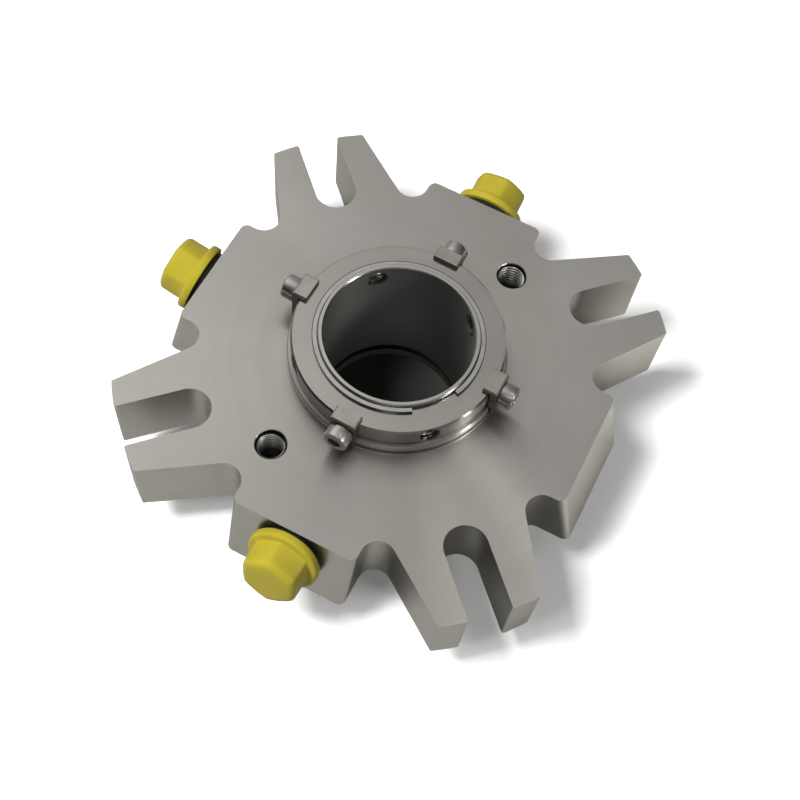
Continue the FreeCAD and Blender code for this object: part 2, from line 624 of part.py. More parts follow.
def gland_ports(body):
    """Three tapped ports, one passage to the chamber and two to the bore behind the faces."""
    threads = drilled(body, "port_thread", port_seat(PORT_AZIMUTHS[0]), [
        ("cut_over", "0"), ("cut_over", "port_thread / 2"), ("0 - port_depth", "port_thread / 2"),
        ("0 - port_depth - port_cone", "vent_bore / 2"), ("0 - port_depth - port_cone", "0")])
    around(body, "port_threads", [threads], len(PORT_AZIMUTHS), sweep=QUARTER * (len(PORT_AZIMUTHS) - 1))
    drilled(body, "flush_passage", port_seat(PORT_AZIMUTHS[2]), [
        ("0 - port_depth", "0"), ("0 - port_depth", "flush_bore / 2"),
        ("0 - port_depth - flush_run", "flush_bore / 2"), ("0 - port_depth - flush_run", "0")])
    tilt = math.radians(number("lug_tilt"))
    depth = number("port_depth + port_cone / 2")
    start_reach = lug_face_reach(number("port_height")) - depth * math.cos(tilt)
    start_height = number("port_height") - depth * math.sin(tilt)
    climb = math.atan2(number("vent_exit") - start_height, start_reach - number(WEB_RADIUS))
    vent_way = along(PORT_AZIMUTHS[0], start_reach, start_height, -math.degrees(climb))
    vent = drilled(body, "vent_passage", vent_way, [
        ("0", "0"), ("0", "vent_bore / 2"), ("0 - vent_run", "vent_bore / 2"), ("0 - vent_run", "0")])
    around(body, "vent_passages", [vent], 2, sweep=QUARTER)


def jacking_holes(body):
    """Two tapped holes right through the plate, opposite each other."""
    seat = along(number("jack_turn"), number("jack_reach"), number("plate_thick"), 90)
    rim = "jack_mouth / 2 - jack_thread / 2"
    sunk = "jack_thread / 2 - jack_mouth / 2"
    hole = drilled(body, "jacking_hole", seat, [
        ("cut_over", "0"), ("cut_over", "jack_mouth / 2"), ("0", "jack_mouth / 2"),
        (sunk, "jack_thread / 2"),
        ("0 - plate_thick + " + rim, "jack_thread / 2"), ("0 - plate_thick", "jack_mouth / 2"),
        ("0 - plate_thick - cut_over", "jack_mouth / 2"), ("0 - plate_thick - cut_over", "0")])
    around(body, "jacking_holes", [hole], 2)


def stop_pin_holes(body):
    seat = along(SLOT_AZIMUTHS[0], number(STOP_PIN_REACH), number("chamber_depth"), 90)
    hole = drilled(body, "stop_pin_hole", seat, [
        ("0 - cut_over", "0"), ("0 - cut_over", "pin_radius"), ("stop_pin_sink", "pin_radius"),
        ("stop_pin_sink", "0")])
    around(body, "stop_pin_holes", [hole], 2)


def gland_gasket():
    body = new_body("gland_gasket")
    turned(body, "Revolution", "ring", [
        (GASKET_INNER, "0"), (GASKET_OUTER, "0"), (GASKET_OUTER, "gasket_thick"),
        (GASKET_INNER, "gasket_thick")])


def shaft_sleeve():
    """A tube on the shaft with a flange at its foot that carries the rotary face."""
    body = new_body("shaft_sleeve")
    snap_low = COLLAR_TOP + " - keeper_ease"
    snap_high = COLLAR_TOP + " + snap_thick + keeper_ease"
    turned(body, "Revolution", "tube", [
        ("bore_radius", SLEEVE_FOOT), (FLANGE_RADIUS + " - flange_edge", SLEEVE_FOOT),
        (FLANGE_RADIUS, SLEEVE_FOOT + " + flange_edge"), (FLANGE_RADIUS, FLANGE_TOP),
        (SLEEVE_OUTER, FLANGE_TOP),
        (SLEEVE_OUTER, snap_low), (SLEEVE_OUTER + " - snap_bite", snap_low),
        (SLEEVE_OUTER + " - snap_bite", snap_high), (SLEEVE_OUTER, snap_high),
        (SLEEVE_OUTER, SLEEVE_TOP + " - sleeve_edge"), (SLEEVE_OUTER + " - sleeve_edge", SLEEVE_TOP),
        ("bore_radius + sleeve_edge", SLEEVE_TOP), ("bore_radius", SLEEVE_TOP + " - sleeve_edge")])
    turned(body, "Groove", "shaft_ring_groove", [
        ("bore_radius - cut_over", SHAFT_RING_LEVEL + " - shaft_ring_width / 2"),
        ("bore_radius + shaft_ring_depth", SHAFT_RING_LEVEL + " - shaft_ring_width / 2"),
        ("bore_radius + shaft_ring_depth", SHAFT_RING_LEVEL + " + shaft_ring_width / 2"),
        ("bore_radius - cut_over", SHAFT_RING_LEVEL + " + shaft_ring_width / 2")])
    hole = drilled(body, "set_screw_hole", along(0, 0, number(SCREW_LEVEL)), [
        ("bore_radius - cut_over", "0"), ("bore_radius - cut_over", "set_radius + set_hole_ease"),
        (SLEEVE_OUTER + " + cut_over", "set_radius + set_hole_ease"), (SLEEVE_OUTER + " + cut_over", "0")])
    around(body, "set_screw_holes", [hole], len(SLOT_AZIMUTHS))
    pin_way = along(LUG_AZIMUTHS[0], number(DRIVE_PIN_REACH), number(FLANGE_TOP), 90)
    pin = drilled(body, "drive_pin_hole", pin_way, [
        ("cut_over", "0"), ("cut_over", "pin_radius"), ("0 - drive_pin_sink", "pin_radius"),
        ("0 - drive_pin_sink", "0")])
    around(body, "drive_pin_holes", [pin], 2)
    clock(body)


def clock(body):
    """Turn a rotating piece with the rotor."""
    body.Placement = FreeCAD.Placement(FreeCAD.Vector(), turn_z(number("rotor_clock")))
    body.setExpression("Placement.Rotation.Angle", "dims.rotor_clock")


def drive_collar():
    """The collar that clamps the sleeve to the shaft, with set screws and clips in turn."""
    body = new_body("drive_collar")
    inner = SLEEVE_OUTER + " + collar_fit"
    turned(body, "Revolution", "ring", [
        (inner, COLLAR_FOOT), (COLLAR_RADIUS + " - collar_edge", COLLAR_FOOT),
        (COLLAR_RADIUS, COLLAR_FOOT + " + collar_edge"), (COLLAR_RADIUS, COLLAR_TOP + " - collar_edge"),
        (COLLAR_RADIUS + " - collar_edge", COLLAR_TOP), (inner, COLLAR_TOP)])
    set_hole = drilled(body, "set_screw_hole", along(0, 0, number(SCREW_LEVEL)), [
        ("bore_radius", "0"), ("bore_radius", "set_radius + thread_ease"),
        (COLLAR_RADIUS + " - set_mouth", "set_radius + thread_ease"),
        (COLLAR_RADIUS, "set_radius + thread_ease + set_mouth"),
        (COLLAR_RADIUS + " + cut_over", "set_radius + thread_ease + set_mouth"),
        (COLLAR_RADIUS + " + cut_over", "0")])
    around(body, "set_screw_holes", [set_hole], len(SLOT_AZIMUTHS))
    clip_hole = drilled(body, "clip_screw_hole", along(LUG_AZIMUTHS[0], 0, number(SCREW_LEVEL)), [
        (CLIP_OUTER + " - cap_length - cap_hole_extra", "0"),
        (CLIP_OUTER + " - cap_length - cap_hole_extra", "cap_thread + thread_ease"),
        (COLLAR_RADIUS + " + cut_over", "cap_thread + thread_ease"), (COLLAR_RADIUS + " + cut_over", "0")])
    around(body, "clip_screw_holes", [clip_hole], len(LUG_AZIMUTHS))
    clock(body)


def open_ring(label, inner, outer, foot, thick, gap, start):
    """A split retaining ring of rectangular section."""
    body = new_body(label)
    turned(body, "Revolution", "strip", [
        (inner, foot), (outer, foot), (outer, foot + " + " + thick), (inner, foot + " + " + thick)],
        seat=section(start), sweep=360 - number(gap))
    return body


def rotary_face():
    """The hard ring that turns with the sleeve."""
    body = new_body("rotary_face")
    inner = SLEEVE_OUTER + " + rotary_clear"
    pocket = SLEEVE_OUTER + " + face_ring + 2 * ring_squeeze"
    deep = FLANGE_TOP + " + face_ring + groove_ease"
    turned(body, "Revolution", "ring", [
        (pocket, FLANGE_TOP), (ROTARY_RADIUS + " - collar_edge", FLANGE_TOP),
        (ROTARY_RADIUS, FLANGE_TOP + " + collar_edge"), (ROTARY_RADIUS, "face_height - collar_edge"),
        (ROTARY_RADIUS + " - collar_edge", "face_height"), (NOSE_INNER + " - collar_edge", "face_height"),
        (inner, "face_height - 2 * collar_edge"), (inner, deep), (pocket, deep)])
    seat = along(LUG_AZIMUTHS[0], number(DRIVE_PIN_REACH), number(FLANGE_TOP), 90)
    hole = drilled(body, "drive_pin_hole", seat, [
        ("0 - cut_over", "0"), ("0 - cut_over", "pin_radius + pin_ease"),
        ("drive_pin_stand + pin_ease", "pin_radius + pin_ease"), ("drive_pin_stand + pin_ease", "0")])
    around(body, "drive_pin_holes", [hole], 2)
    clock(body)


def stationary_face():
    """The carbon ring that floats in the gland: nose, notched flange and O-ring groove."""
    body = new_body("stationary_face")
    floor = FLOAT_RADIUS + " - face_ring - 2 * ring_squeeze"
    groove_low = CARBON_RING_LEVEL + " - face_ring / 2 - groove_ease / 2"
    groove_high = CARBON_RING_LEVEL + " + face_ring / 2 + groove_ease / 2"
    shoulder = "face_height + nose_height"
    turned(body, "Revolution", "ring", [
        (NOSE_INNER, "face_height"), (NOSE_OUTER, "face_height"), (NOSE_OUTER, shoulder),
        (CARBON_FLANGE, shoulder), (CARBON_FLANGE, shoulder + " + carbon_flange_thick"),
        (CARBON_OUTER, shoulder + " + carbon_flange_thick"), (CARBON_OUTER, groove_low),
        (floor, groove_low), (floor, groove_high), (CARBON_OUTER, groove_high),
        (CARBON_OUTER, CARBON_BACK), (CARBON_INNER, CARBON_BACK),
        (CARBON_INNER, shoulder), (NOSE_INNER, shoulder)])
    cut = new_sketch(body, "stop_notch_outline",
                     level(number(shoulder + " + carbon_flange_thick + cut_over"), SLOT_AZIMUTHS[0]))
    half = "pin_radius + pin_ease"
    polygon(cut, [
        (STOP_PIN_REACH + " - pin_radius - pin_ease", "0 - " + half.replace("+", "-")),
        (CARBON_FLANGE + " + cut_over", "0 - " + half.replace("+", "-")),
        (CARBON_FLANGE + " + cut_over", half),
        (STOP_PIN_REACH + " - pin_radius - pin_ease", half)])
    slot = extrude(body, "Pocket", "stop_notch", cut, "carbon_flange_thick + 2 * cut_over")
    around(body, "stop_notches", [slot], 2)


def o_ring(label, inner, outer, foot, height):
    """An O-ring squeezed in its groove: a ring of eight-sided section."""
    body = new_body(label)
    corner = "face_ring / 3"
    top = foot + " + " + height
    turned(body, "Revolution", "ring", [
        (inner, foot + " + " + corner), (inner + " + " + corner, foot),
        (outer + " - " + corner, foot), (outer, foot + " + " + corner),
        (outer, top + " - " + corner), (outer + " - " + corner, top),
        (inner + " + " + corner, top), (inner, top + " - " + corner)])


def pin_pair(label, reach, foot, length, start):
    """Two dowel pins opposite each other, as one group."""
    pins = []
    for side, turn in (("a", 0), ("b", 180)):
        pin = doc.addObject("Part::Cylinder", "%s_%s" % (label, side))
        pin.setExpression("Radius", formula("pin_radius"))
        pin.setExpression("Height", formula(length))
        spot = turn_z(start + turn).multVec(FreeCAD.Vector(number(reach), 0, number(foot)))
        pin.Placement = FreeCAD.Placement(spot, FreeCAD.Rotation())
        pins.append(pin)
    pair = doc.addObject("Part::Compound", label)
    pair.Label = label
    pair.Links = pins
    pieces.append(pair)


def wave_spring():
    """A flat ring bent into waves between the carbon ring and the gland's web."""
    waves = int(number("spring_waves"))
    low = number(CARBON_BACK + " + spring_seat")
    high = number("float_depth - spring_seat")
    thick = number("spring_thick")
    middle = (low + high) / 2
    swing = (high - low - thick) / 2
    steps = waves * 8
    inner = number(CARBON_INNER + " + spring_step")
    outer = inner + number("spring_width")

    def rim(radius, lift):
        spots = []
        for k in range(steps):
            angle = 2 * math.pi * k / steps
            spots.append(FreeCAD.Vector(radius * math.cos(angle), radius * math.sin(angle),
                                        middle + lift + swing * math.cos(waves * angle)))
        curve = Part.BSplineCurve()
        curve.interpolate(Points=spots, PeriodicFlag=True)
        return curve.toShape()

    top_in, top_out = rim(inner, thick / 2), rim(outer, thick / 2)
    low_in, low_out = rim(inner, -thick / 2), rim(outer, -thick / 2)
    faces = [Part.makeRuledSurface(a, b) for a, b in (
        (top_in, top_out), (top_out, low_out), (low_out, low_in), (low_in, top_in))]
    solid = Part.Solid(Part.makeShell(faces))
    spring = doc.addObject("Part::Feature", "wave_spring")
    spring.Label = "wave_spring"
    spring.Shape = solid if solid.Volume > 0 else solid.reversed()
    spring.Placement = FreeCAD.Placement()
    pieces.append(spring)


def throttle_bushing():
    body = new_body("throttle_bushing")
    inner = SLEEVE_OUTER + " + bushing_gap"
    turned(body, "Revolution", "ring", [
        (inner, "bushing_seat"), (BUSHING_OUTER, "bushing_seat"),
        (BUSHING_OUTER, "bushing_seat + bushing_thick"), (inner, "bushing_seat + bushing_thick")])


def setting_clip(index, azimuth):
    """A C-shaped clip: its lip rests on the collar and its hook enters the neck's groove."""
    body = new_body("setting_clip_%d" % index)
    sketch = new_sketch(body, "clip_outline", section(0))
    top = COLLAR_TOP + " + clip_seat + clip_lip_thick"
    polygon(sketch, [
        (CLIP_LIP, COLLAR_TOP + " + clip_seat"), (CLIP_LIP, top),
        (CLIP_OUTER + " - clip_edge", top), (CLIP_OUTER, top + " - clip_edge"),
        (CLIP_OUTER, GROOVE_LOW + " + clip_hook_gap"), (CLIP_HOOK, GROOVE_LOW + " + clip_hook_gap"),
        (CLIP_HOOK, GROOVE_HIGH + " - clip_hook_gap"),
        (NECK_RADIUS + " + clip_ring_gap", GROOVE_HIGH + " - clip_hook_gap"),
        (NECK_RADIUS + " + clip_ring_gap", NECK_TOP + " + clip_ring_gap"),
        (COLLAR_RADIUS + " + clip_leg_gap", NECK_TOP + " + clip_ring_gap"),
        (COLLAR_RADIUS + " + clip_leg_gap", COLLAR_TOP + " + clip_seat")])
    extrude(body, "Pad", "clip", sketch, "clip_width", both_ways=True)
    drilled(body, "screw_hole", along(0, 0, number(SCREW_LEVEL)), [
        (CLIP_LIP, "0"), (CLIP_LIP, "cap_hole"), (CLIP_OUTER + " + cut_over", "cap_hole"),
        (CLIP_OUTER + " + cut_over", "0")])
    half = number("clip_width") / 2
    high = number(top)

    def on_lip_side(edge):
        middle = edge.CenterOfMass
        return abs(abs(middle.y) - half) < 1e-4 and abs(middle.z - high) < 1e-4

    dress(body, "Chamfer", "lip_edges", on_lip_side, "clip_edge")
    body.Placement = FreeCAD.Placement(FreeCAD.Vector(), turn_z(azimuth))


def clip_screw(index, azimuth):
    """A socket head cap screw that holds a clip to the collar."""
    body = new_body("clip_screw_%d" % index)
    turned(body, "Revolution", "screw", [
        ("0", "0 - cap_length"), ("cap_thread - cap_head_edge", "0 - cap_length"),
        ("cap_thread", "cap_head_edge - cap_length"), ("cap_thread", "0"), ("cap_head_radius", "0"),
        ("cap_head_radius", "cap_head_height - cap_head_edge"),
        ("cap_head_radius - cap_head_edge", "cap_head_height"), ("0", "cap_head_height")])
    socket = new_sketch(body, "socket_outline", level(number("cap_head_height")))
    hexagon(socket, "cap_socket")
    extrude(body, "Pocket", "socket", socket, "cap_socket_depth")
    body.Placement = outward(azimuth, number(CLIP_OUTER + " + thread_ease"), number(SCREW_LEVEL))


def set_screw(index, azimuth):
    """A cup point set screw, backed off so that the shaft can enter."""
    body = new_body("set_screw_%d" % index)
    turned(body, "Revolution", "screw", [
        ("0", "set_mouth - set_length"), ("set_radius / 2", "0 - set_length"),
        ("set_radius - 2 * set_mouth", "0 - set_length"), ("set_radius", "2 * set_mouth - set_length"),
        ("set_radius", "0 - set_mouth"), ("set_radius - set_mouth", "0"), ("0", "0")])
    socket = new_sketch(body, "socket_outline", level(0))
    hexagon(socket, "set_socket")
    extrude(body, "Pocket", "socket", socket, "set_socket_depth")
    body.Placement = outward(azimuth, number(COLLAR_RADIUS + " - set_recess"), number(SCREW_LEVEL))


def plug_place(azimuth, spin):
    height = number("port_height")
    return outward(azimuth, lug_face_reach(height), height, number("lug_tilt"), spin)


def plug_seal(index, azimuth):
    body = new_body("plug_seal_%d" % index)
    edge = "plug_seal_thick / 4"
    turned(body, "Revolution", "ring", [
        ("plug_seal_bore", "0"), ("plug_seal_radius - " + edge, "0"), ("plug_seal_radius", edge),
        ("plug_seal_radius", "plug_seal_thick - " + edge), ("plug_seal_radius - " + edge, "plug_seal_thick"),
        ("plug_seal_bore", "plug_seal_thick")])
    body.Placement = plug_place(azimuth, 0)


def port_plug(index, azimuth, spin):
    """A moulded plug with a hollow shank, a round flange and a hexagon head."""
    body = new_body("port_plug_%d" % index)
    flange_top = "plug_seal_thick + plug_flange_thick"
    hollow = "plug_shank_radius - plug_shank_wall"
    turned(body, "Revolution", "moulding", [
        ("0", "0"), (hollow, "0"), (hollow, "0 - plug_shank_length"),
        ("plug_shank_radius - plug_shank_edge", "0 - plug_shank_length"),
        ("plug_shank_radius", "plug_shank_edge - plug_shank_length"),
        ("plug_shank_radius", "plug_seal_thick"),
        ("plug_flange_radius - plug_flange_edge / 2", "plug_seal_thick"),
        ("plug_flange_radius", "plug_seal_thick + plug_flange_edge / 2"),
        ("plug_flange_radius", flange_top + " - plug_flange_edge"),
        ("plug_flange_radius - plug_flange_edge", flange_top), ("0", flange_top)])
    head = new_sketch(body, "head_outline", level(number(flange_top)))
    hexagon(head, "plug_hex")
    extrude(body, "Pad", "head", head, "plug_hex_height")
    top = number(flange_top + " + plug_hex_height")

    def on_head_rim(edge):
        return all(abs(vertex.Point.z - top) < 1e-4 for vertex in edge.Vertexes)

    dress(body, "Fillet", "head_rim", on_head_rim, "plug_hex_edge")
    body.Placement = plug_place(azimuth, spin)


def check_document():
    """Stop if any object failed or any piece has no sound shape."""
    doc.recompute()
    for item in doc.Objects:
        if "Invalid" in item.State or "Error" in item.State:
            raise RuntimeError("%s did not build: %s" % (item.Name, item.State))
    for piece in pieces:
        if piece.Shape.isNull() or not piece.Shape.isValid():
            raise RuntimeError("%s has no valid shape" % piece.Label)


def build():
    gland_plate()
    gland_gasket()
    pin_pair("stop_pins", STOP_PIN_REACH, "chamber_depth - stop_pin_stand", "stop_pin_stand + stop_pin_sink",
             SLOT_AZIMUTHS[0])
    throttle_bushing()
    open_ring("bushing_ring", KEEPER_OUTER + " - keeper_ease - keeper_width", KEEPER_OUTER + " - keeper_ease",
              KEEPER_FOOT, "keeper_thick", "keeper_gap", 0)
    stationary_face()
    o_ring("stationary_o_ring", FLOAT_RADIUS + " - ring_squeeze - face_ring",
           FLOAT_RADIUS + " - ring_squeeze", CARBON_RING_LEVEL + " - face_ring / 2", "face_ring")
    wave_spring()
    shaft_sleeve()
    o_ring("shaft_o_ring", "bore_radius + ring_squeeze", "bore_radius + shaft_ring_depth - ring_squeeze",
           SHAFT_RING_LEVEL + " - shaft_ring_width / 2 + groove_ease / 2", "shaft_ring_width - groove_ease")
    rotary_face()
    o_ring("rotary_o_ring", SLEEVE_OUTER + " + ring_squeeze", SLEEVE_OUTER + " + ring_squeeze + face_ring",
           FLANGE_TOP + " + groove_ease / 2", "face_ring")
    pin_pair("drive_pins", DRIVE_PIN_REACH, FLANGE_TOP + " - drive_pin_sink",
             "drive_pin_sink + drive_pin_stand", LUG_AZIMUTHS[0] + number("rotor_clock"))
    drive_collar()
    open_ring("retaining_ring", SNAP_INNER, SNAP_INNER + " + snap_width", COLLAR_TOP, "snap_thick",
              "snap_gap", number("snap_turn"))
    for index, azimuth in enumerate(SLOT_AZIMUTHS, 1):
        set_screw(index, azimuth + number("rotor_clock"))
    for index, azimuth in enumerate(LUG_AZIMUTHS, 1):
        setting_clip(index, azimuth + number("rotor_clock"))
        clip_screw(index, azimuth + number("rotor_clock"))
    for index, (azimuth, spin) in enumerate(zip(PORT_AZIMUTHS, PLUG_TURNS), 1):
        plug_seal(index, azimuth)
        port_plug(index, azimuth, spin)


build()
check_document()
os.makedirs("parts", exist_ok=True)
for piece in pieces:
    piece.Shape.exportStep("parts/%s.step" % piece.Label)
    print("%-20s %10.1f mm3" % (piece.Label, piece.Shape.Volume))
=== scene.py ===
import json
import math

import bmesh
import bpy
from mathutils import Matrix, Vector


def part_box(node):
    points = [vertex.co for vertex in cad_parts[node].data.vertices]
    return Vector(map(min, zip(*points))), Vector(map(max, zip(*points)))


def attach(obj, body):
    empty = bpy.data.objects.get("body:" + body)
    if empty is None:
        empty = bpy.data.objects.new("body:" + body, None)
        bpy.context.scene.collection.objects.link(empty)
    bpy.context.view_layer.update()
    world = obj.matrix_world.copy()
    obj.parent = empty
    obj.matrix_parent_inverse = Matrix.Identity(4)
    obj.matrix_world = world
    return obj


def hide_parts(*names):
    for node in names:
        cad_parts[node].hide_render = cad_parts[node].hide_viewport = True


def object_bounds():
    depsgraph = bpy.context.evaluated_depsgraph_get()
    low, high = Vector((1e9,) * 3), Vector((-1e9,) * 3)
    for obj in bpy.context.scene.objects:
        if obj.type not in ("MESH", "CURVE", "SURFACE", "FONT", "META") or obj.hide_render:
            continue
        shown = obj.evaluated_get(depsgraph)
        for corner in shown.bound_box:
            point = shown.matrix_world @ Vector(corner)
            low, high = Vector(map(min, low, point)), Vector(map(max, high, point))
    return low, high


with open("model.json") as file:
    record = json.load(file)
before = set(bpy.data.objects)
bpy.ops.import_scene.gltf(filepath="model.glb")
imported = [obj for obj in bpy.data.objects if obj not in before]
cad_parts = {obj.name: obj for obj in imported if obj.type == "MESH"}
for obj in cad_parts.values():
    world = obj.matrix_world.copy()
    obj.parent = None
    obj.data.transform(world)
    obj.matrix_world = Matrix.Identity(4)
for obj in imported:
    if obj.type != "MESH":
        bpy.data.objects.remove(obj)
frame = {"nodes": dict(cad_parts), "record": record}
cad_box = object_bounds()

# The seal stands on the foot of its shaft sleeve, with the drive collar up.
# Lengths of the object's own pieces are written in millimetres and turned into metres by MM.

MM = 0.001

# camera of the photograph
IMAGE_WIDTH = 800
FOCAL_PIXELS = 1261.68
CAMERA_PLACE = (-105.098, -228.247, 472.749)
CAMERA_TURN = (27.431, -3.973, -18.043)
CAMERA_RANGE = (0.01, 50)

# layout
LUG_AZIMUTHS = (45, 135, 225, 315)
SLOT_AZIMUTHS = (0, 90, 180, 270)
ROTOR_TURN = -1.4
PLATE_THICK = 31
PORT_TILT = 14
PORT_HEIGHT = 18
LUG_REACH = 85.6
PLUG_SPINS = (15, 3, 6)
BORE_RADIUS = 30
NECK_OUTER = 44
RING_INNER = 32
RING_OUTER = 34.2
# width of the painted shade along the ring's edges
RING_EDGE = 0.3

# jacking holes
JACK_REACH = 63.3
JACK_AZIMUTHS = (22, 202)
JACK_RADIUS = 6
JACK_MINOR = 5.15
JACK_PITCH = 1.75
JACK_EDGE = 0.5
JACK_RUNOUT = 0.3
JACK_CREST = 0.12
JACK_SINK = 0.03

# clip screws
CAP_OUTER = 45.43
CAP_LENGTH = 10
CAP_RADIUS = 3
CAP_ROOT = 2.45
CAP_PITCH = 1.0
CAP_HEAD_RADIUS = 5
CAP_HEAD_HEIGHT = 6
CAP_SOCKET = 5
CAP_SOCKET_DEPTH = 3.2
CAP_POINT = 0.5

# set screws
SET_OUTER = 40.5
SET_LENGTH = 9.8
SET_RADIUS = 4
SET_ROOT = 3.3
SET_PITCH = 1.25
SET_SOCKET = 4
SET_SOCKET_DEPTH = 4
SET_CUP_INNER = 2.0
SET_CUP_OUTER = 2.4

# port plugs
PLUG_SEAL = 2.2
PLUG_FLANGE_RADIUS = 14.8
PLUG_FLANGE = 3.6
PLUG_HEX = 22.4
PLUG_HEAD = 11.3
PLUG_ROUND = 1.09
PLUG_SWELL = 1.035
PLUG_BEND = 12
PLUG_SHANK = 10.4
PLUG_SHANK_ROOT = 9.5
PLUG_SHANK_LENGTH = 11
PLUG_WALL = 2.4
PLUG_PITCH = 1.8
PLUG_SINK = 0.05

# what the screws share: the socket's mouth, its point, and how deep a thread's foot is sunk in the core
SOCKET_MOUTH = 0.35
SOCKET_POINT = 0.3
SCREW_SINK = 0.04

# cuts round a turned form, the angles above which an edge is sharp, and how far edges are broken
SEGMENTS = 96
SHARP_DEGREES = 32
SOFT_DEGREES = 40
FLAT_DEGREES = 0.4
BROKEN_EDGES = {"gland_plate": 0.3, "setting_clip": 0.15}

# finishes; a share is what is left of the colour, a swing goes to both sides of the roughness
GRAIN_TURN = 0.25
NOISE_SPAN = (0.3, 0.7)
CLOUD_SPAN = (-0.4, 0.6)
BROAD_RINGS = 0.5
FINE_RINGS = 0.3
TURNED_TONES = (0.94, 1.06)
PRESSED_TONES = (0.86, 1.1)
STEEL_SWING = 0.03
SOFT_SWING = 0.06
PLATE_COLOUR = (0.53, 0.505, 0.465)
PLATE_DARK = (0.50, 0.47, 0.43)
PLATE_LIGHT = (0.56, 0.54, 0.50)
PLATE_ROUGHNESS = (0.28, 0.32)
PLATE_SHEEN = 0.9
MILLED_SHEEN = 0.2
GROUND_SHEEN = 0.95
GROUND_ROUGHNESS = 0.48
# painted shade on the collar's upright side
COLLAR_SIDE_SHADE = 0.75
BORE_ROUGHNESS = 0.65
# painted shade on the sleeve's bore wall
BORE_SHADE_SHARE = 0.5
# painted shade along the edges of the retaining ring
RING_GAP_SHADE_SHARE = 0.12
# painted shade inside the jacking holes of the plate
HOLE_SHADE_SHARE = 0.06
# painted shade in the jacking threads: the radius beyond which the roots are shaded, the depths over which
# the shade grows, and its share
ROOT_SHADE_RADIUS = JACK_MINOR + 0.35
DEEP_SHADE_DEPTHS = (3, 15)
THREAD_SHADE_SHARE = 0.03

# how far a radius mask reaches past its wall
BORE_SKIN = 0.3
NECK_SKIN = 0.5
HOLE_SKIN = 0.2

# a radius outside every wall, and the rise of a face's normal below which the face counts as upright
ANY_RADIUS = 200
UPRIGHT_LEAN = 0.5


# Shared effects, one node group each

def new_group(name, inputs, outputs):
    """A shader node group with float inputs and float outputs."""
    group = bpy.data.node_groups.new(name, "ShaderNodeTree")
    for label, value in inputs:
        socket = group.interface.new_socket(label, in_out="INPUT", socket_type="NodeSocketFloat")
        socket.default_value = value
    for label in outputs:
        group.interface.new_socket(label, in_out="OUTPUT", socket_type="NodeSocketFloat")
    return group, group.nodes.new("NodeGroupInput"), group.nodes.new("NodeGroupOutput")


def math_node(tree, operation, first, second=None):
    """A Math node whose inputs are sockets or numbers; returns its output."""
    node = tree.nodes.new("ShaderNodeMath")
    node.operation = operation
    for socket, value in zip(node.inputs, (first, second)):
        if value is None:
            continue
        if isinstance(value, (int, float)):
            socket.default_value = value
        else:
            tree.links.new(value, socket)
    return node.outputs[0]


def object_point(tree):
    return tree.nodes.new("ShaderNodeTexCoord").outputs["Object"]


def part_of(tree, vector, axis):
    """The X, Y or Z of a vector."""
    split = tree.nodes.new("ShaderNodeSeparateXYZ")
    tree.links.new(vector, split.inputs[0])
    return split.outputs[axis]


def flat_distance(tree, vector):
    """Distance of a point from the upright axis."""
    across = part_of(tree, vector, "X")
    along = part_of(tree, vector, "Y")
    squares = math_node(tree, "ADD", math_node(tree, "MULTIPLY", across, across),
                        math_node(tree, "MULTIPLY", along, along))
    return math_node(tree, "SQRT", squares)


def between(tree, kind, factor, first, second):
    """A number (FLOAT) or a colour (RGBA) between two, each a constant or a socket."""
    mix = tree.nodes.new("ShaderNodeMix")
    mix.data_type = kind
    tree.links.new(factor, mix.inputs["Factor"])
    for label, value in (("A", first), ("B", second)):
        if isinstance(value, bpy.types.NodeSocket):
            tree.links.new(value, mix.inputs[label])
        else:
            mix.inputs[label].default_value = value
    return mix.outputs["Result"]


def ramp(tree, value, low, high, way="SMOOTHSTEP"):
    """Zero at the low value and one at the high one."""
    node = tree.nodes.new("ShaderNodeMapRange")
    node.interpolation_type = way
    node.inputs["From Min"].default_value = low
    node.inputs["From Max"].default_value = high
    tree.links.new(value, node.inputs["Value"])
    return node.outputs[0]


def make_turned_rings():
    """Fine rings about the object's Z axis, as a lathe tool leaves them on a face."""
    group, given, result = new_group("turned_rings", [("Pitch", 0.0004)], ["Height", "Tone"])
    point = object_point(group)
    reach = math_node(group, "ADD", flat_distance(group, point), part_of(group, point, "Z"))
    turns = math_node(group, "DIVIDE", reach, given.outputs["Pitch"])
    for output, scale, detail in (("Height", 1.0, 3.0), ("Tone", 0.06, 2.0)):
        rings = group.nodes.new("ShaderNodeTexNoise")
        rings.noise_dimensions = "1D"
        rings.inputs["Scale"].default_value = scale
        rings.inputs["Detail"].default_value = detail
        group.links.new(turns, rings.inputs["W"])
        group.links.new(rings.outputs["Fac"], result.inputs[output])
    return group


def make_clouds(name, size, output, detail, roughness):
    """Clouds or grains of a given size in metres over a surface."""
    group, given, result = new_group(name, [("Size", size)], [output])
    node = group.nodes.new("ShaderNodeTexNoise")
    node.inputs["Detail"].default_value = detail
    node.inputs["Roughness"].default_value = roughness
    group.links.new(math_node(group, "DIVIDE", 1.0, given.outputs["Size"]), node.inputs["Scale"])
    group.links.new(object_point(group), node.inputs["Vector"])
    group.links.new(node.outputs["Fac"], result.inputs[output])
    return group


# turned rings, slow clouds of wiped oil, and the fine grain of a moulded or pressed surface
TURNED_RINGS = make_turned_rings()
SMUDGES = make_clouds("smudges", 0.03, "Tone", detail=4.0, roughness=0.55)
SPECKLE = make_clouds("speckle", 0.0008, "Height", detail=3.0, roughness=0.5)


# Materials

def use_group(tree, group, **values):
    """A shared effect placed in a material with its own values."""
    node = tree.nodes.new("ShaderNodeGroup")
    node.node_tree = group
    for label, value in values.items():
        node.inputs[label].default_value = value
    return node


def opened(material):
    """The node tree of a material and its one shader."""
    return material.node_tree, material.node_tree.nodes["Principled BSDF"]


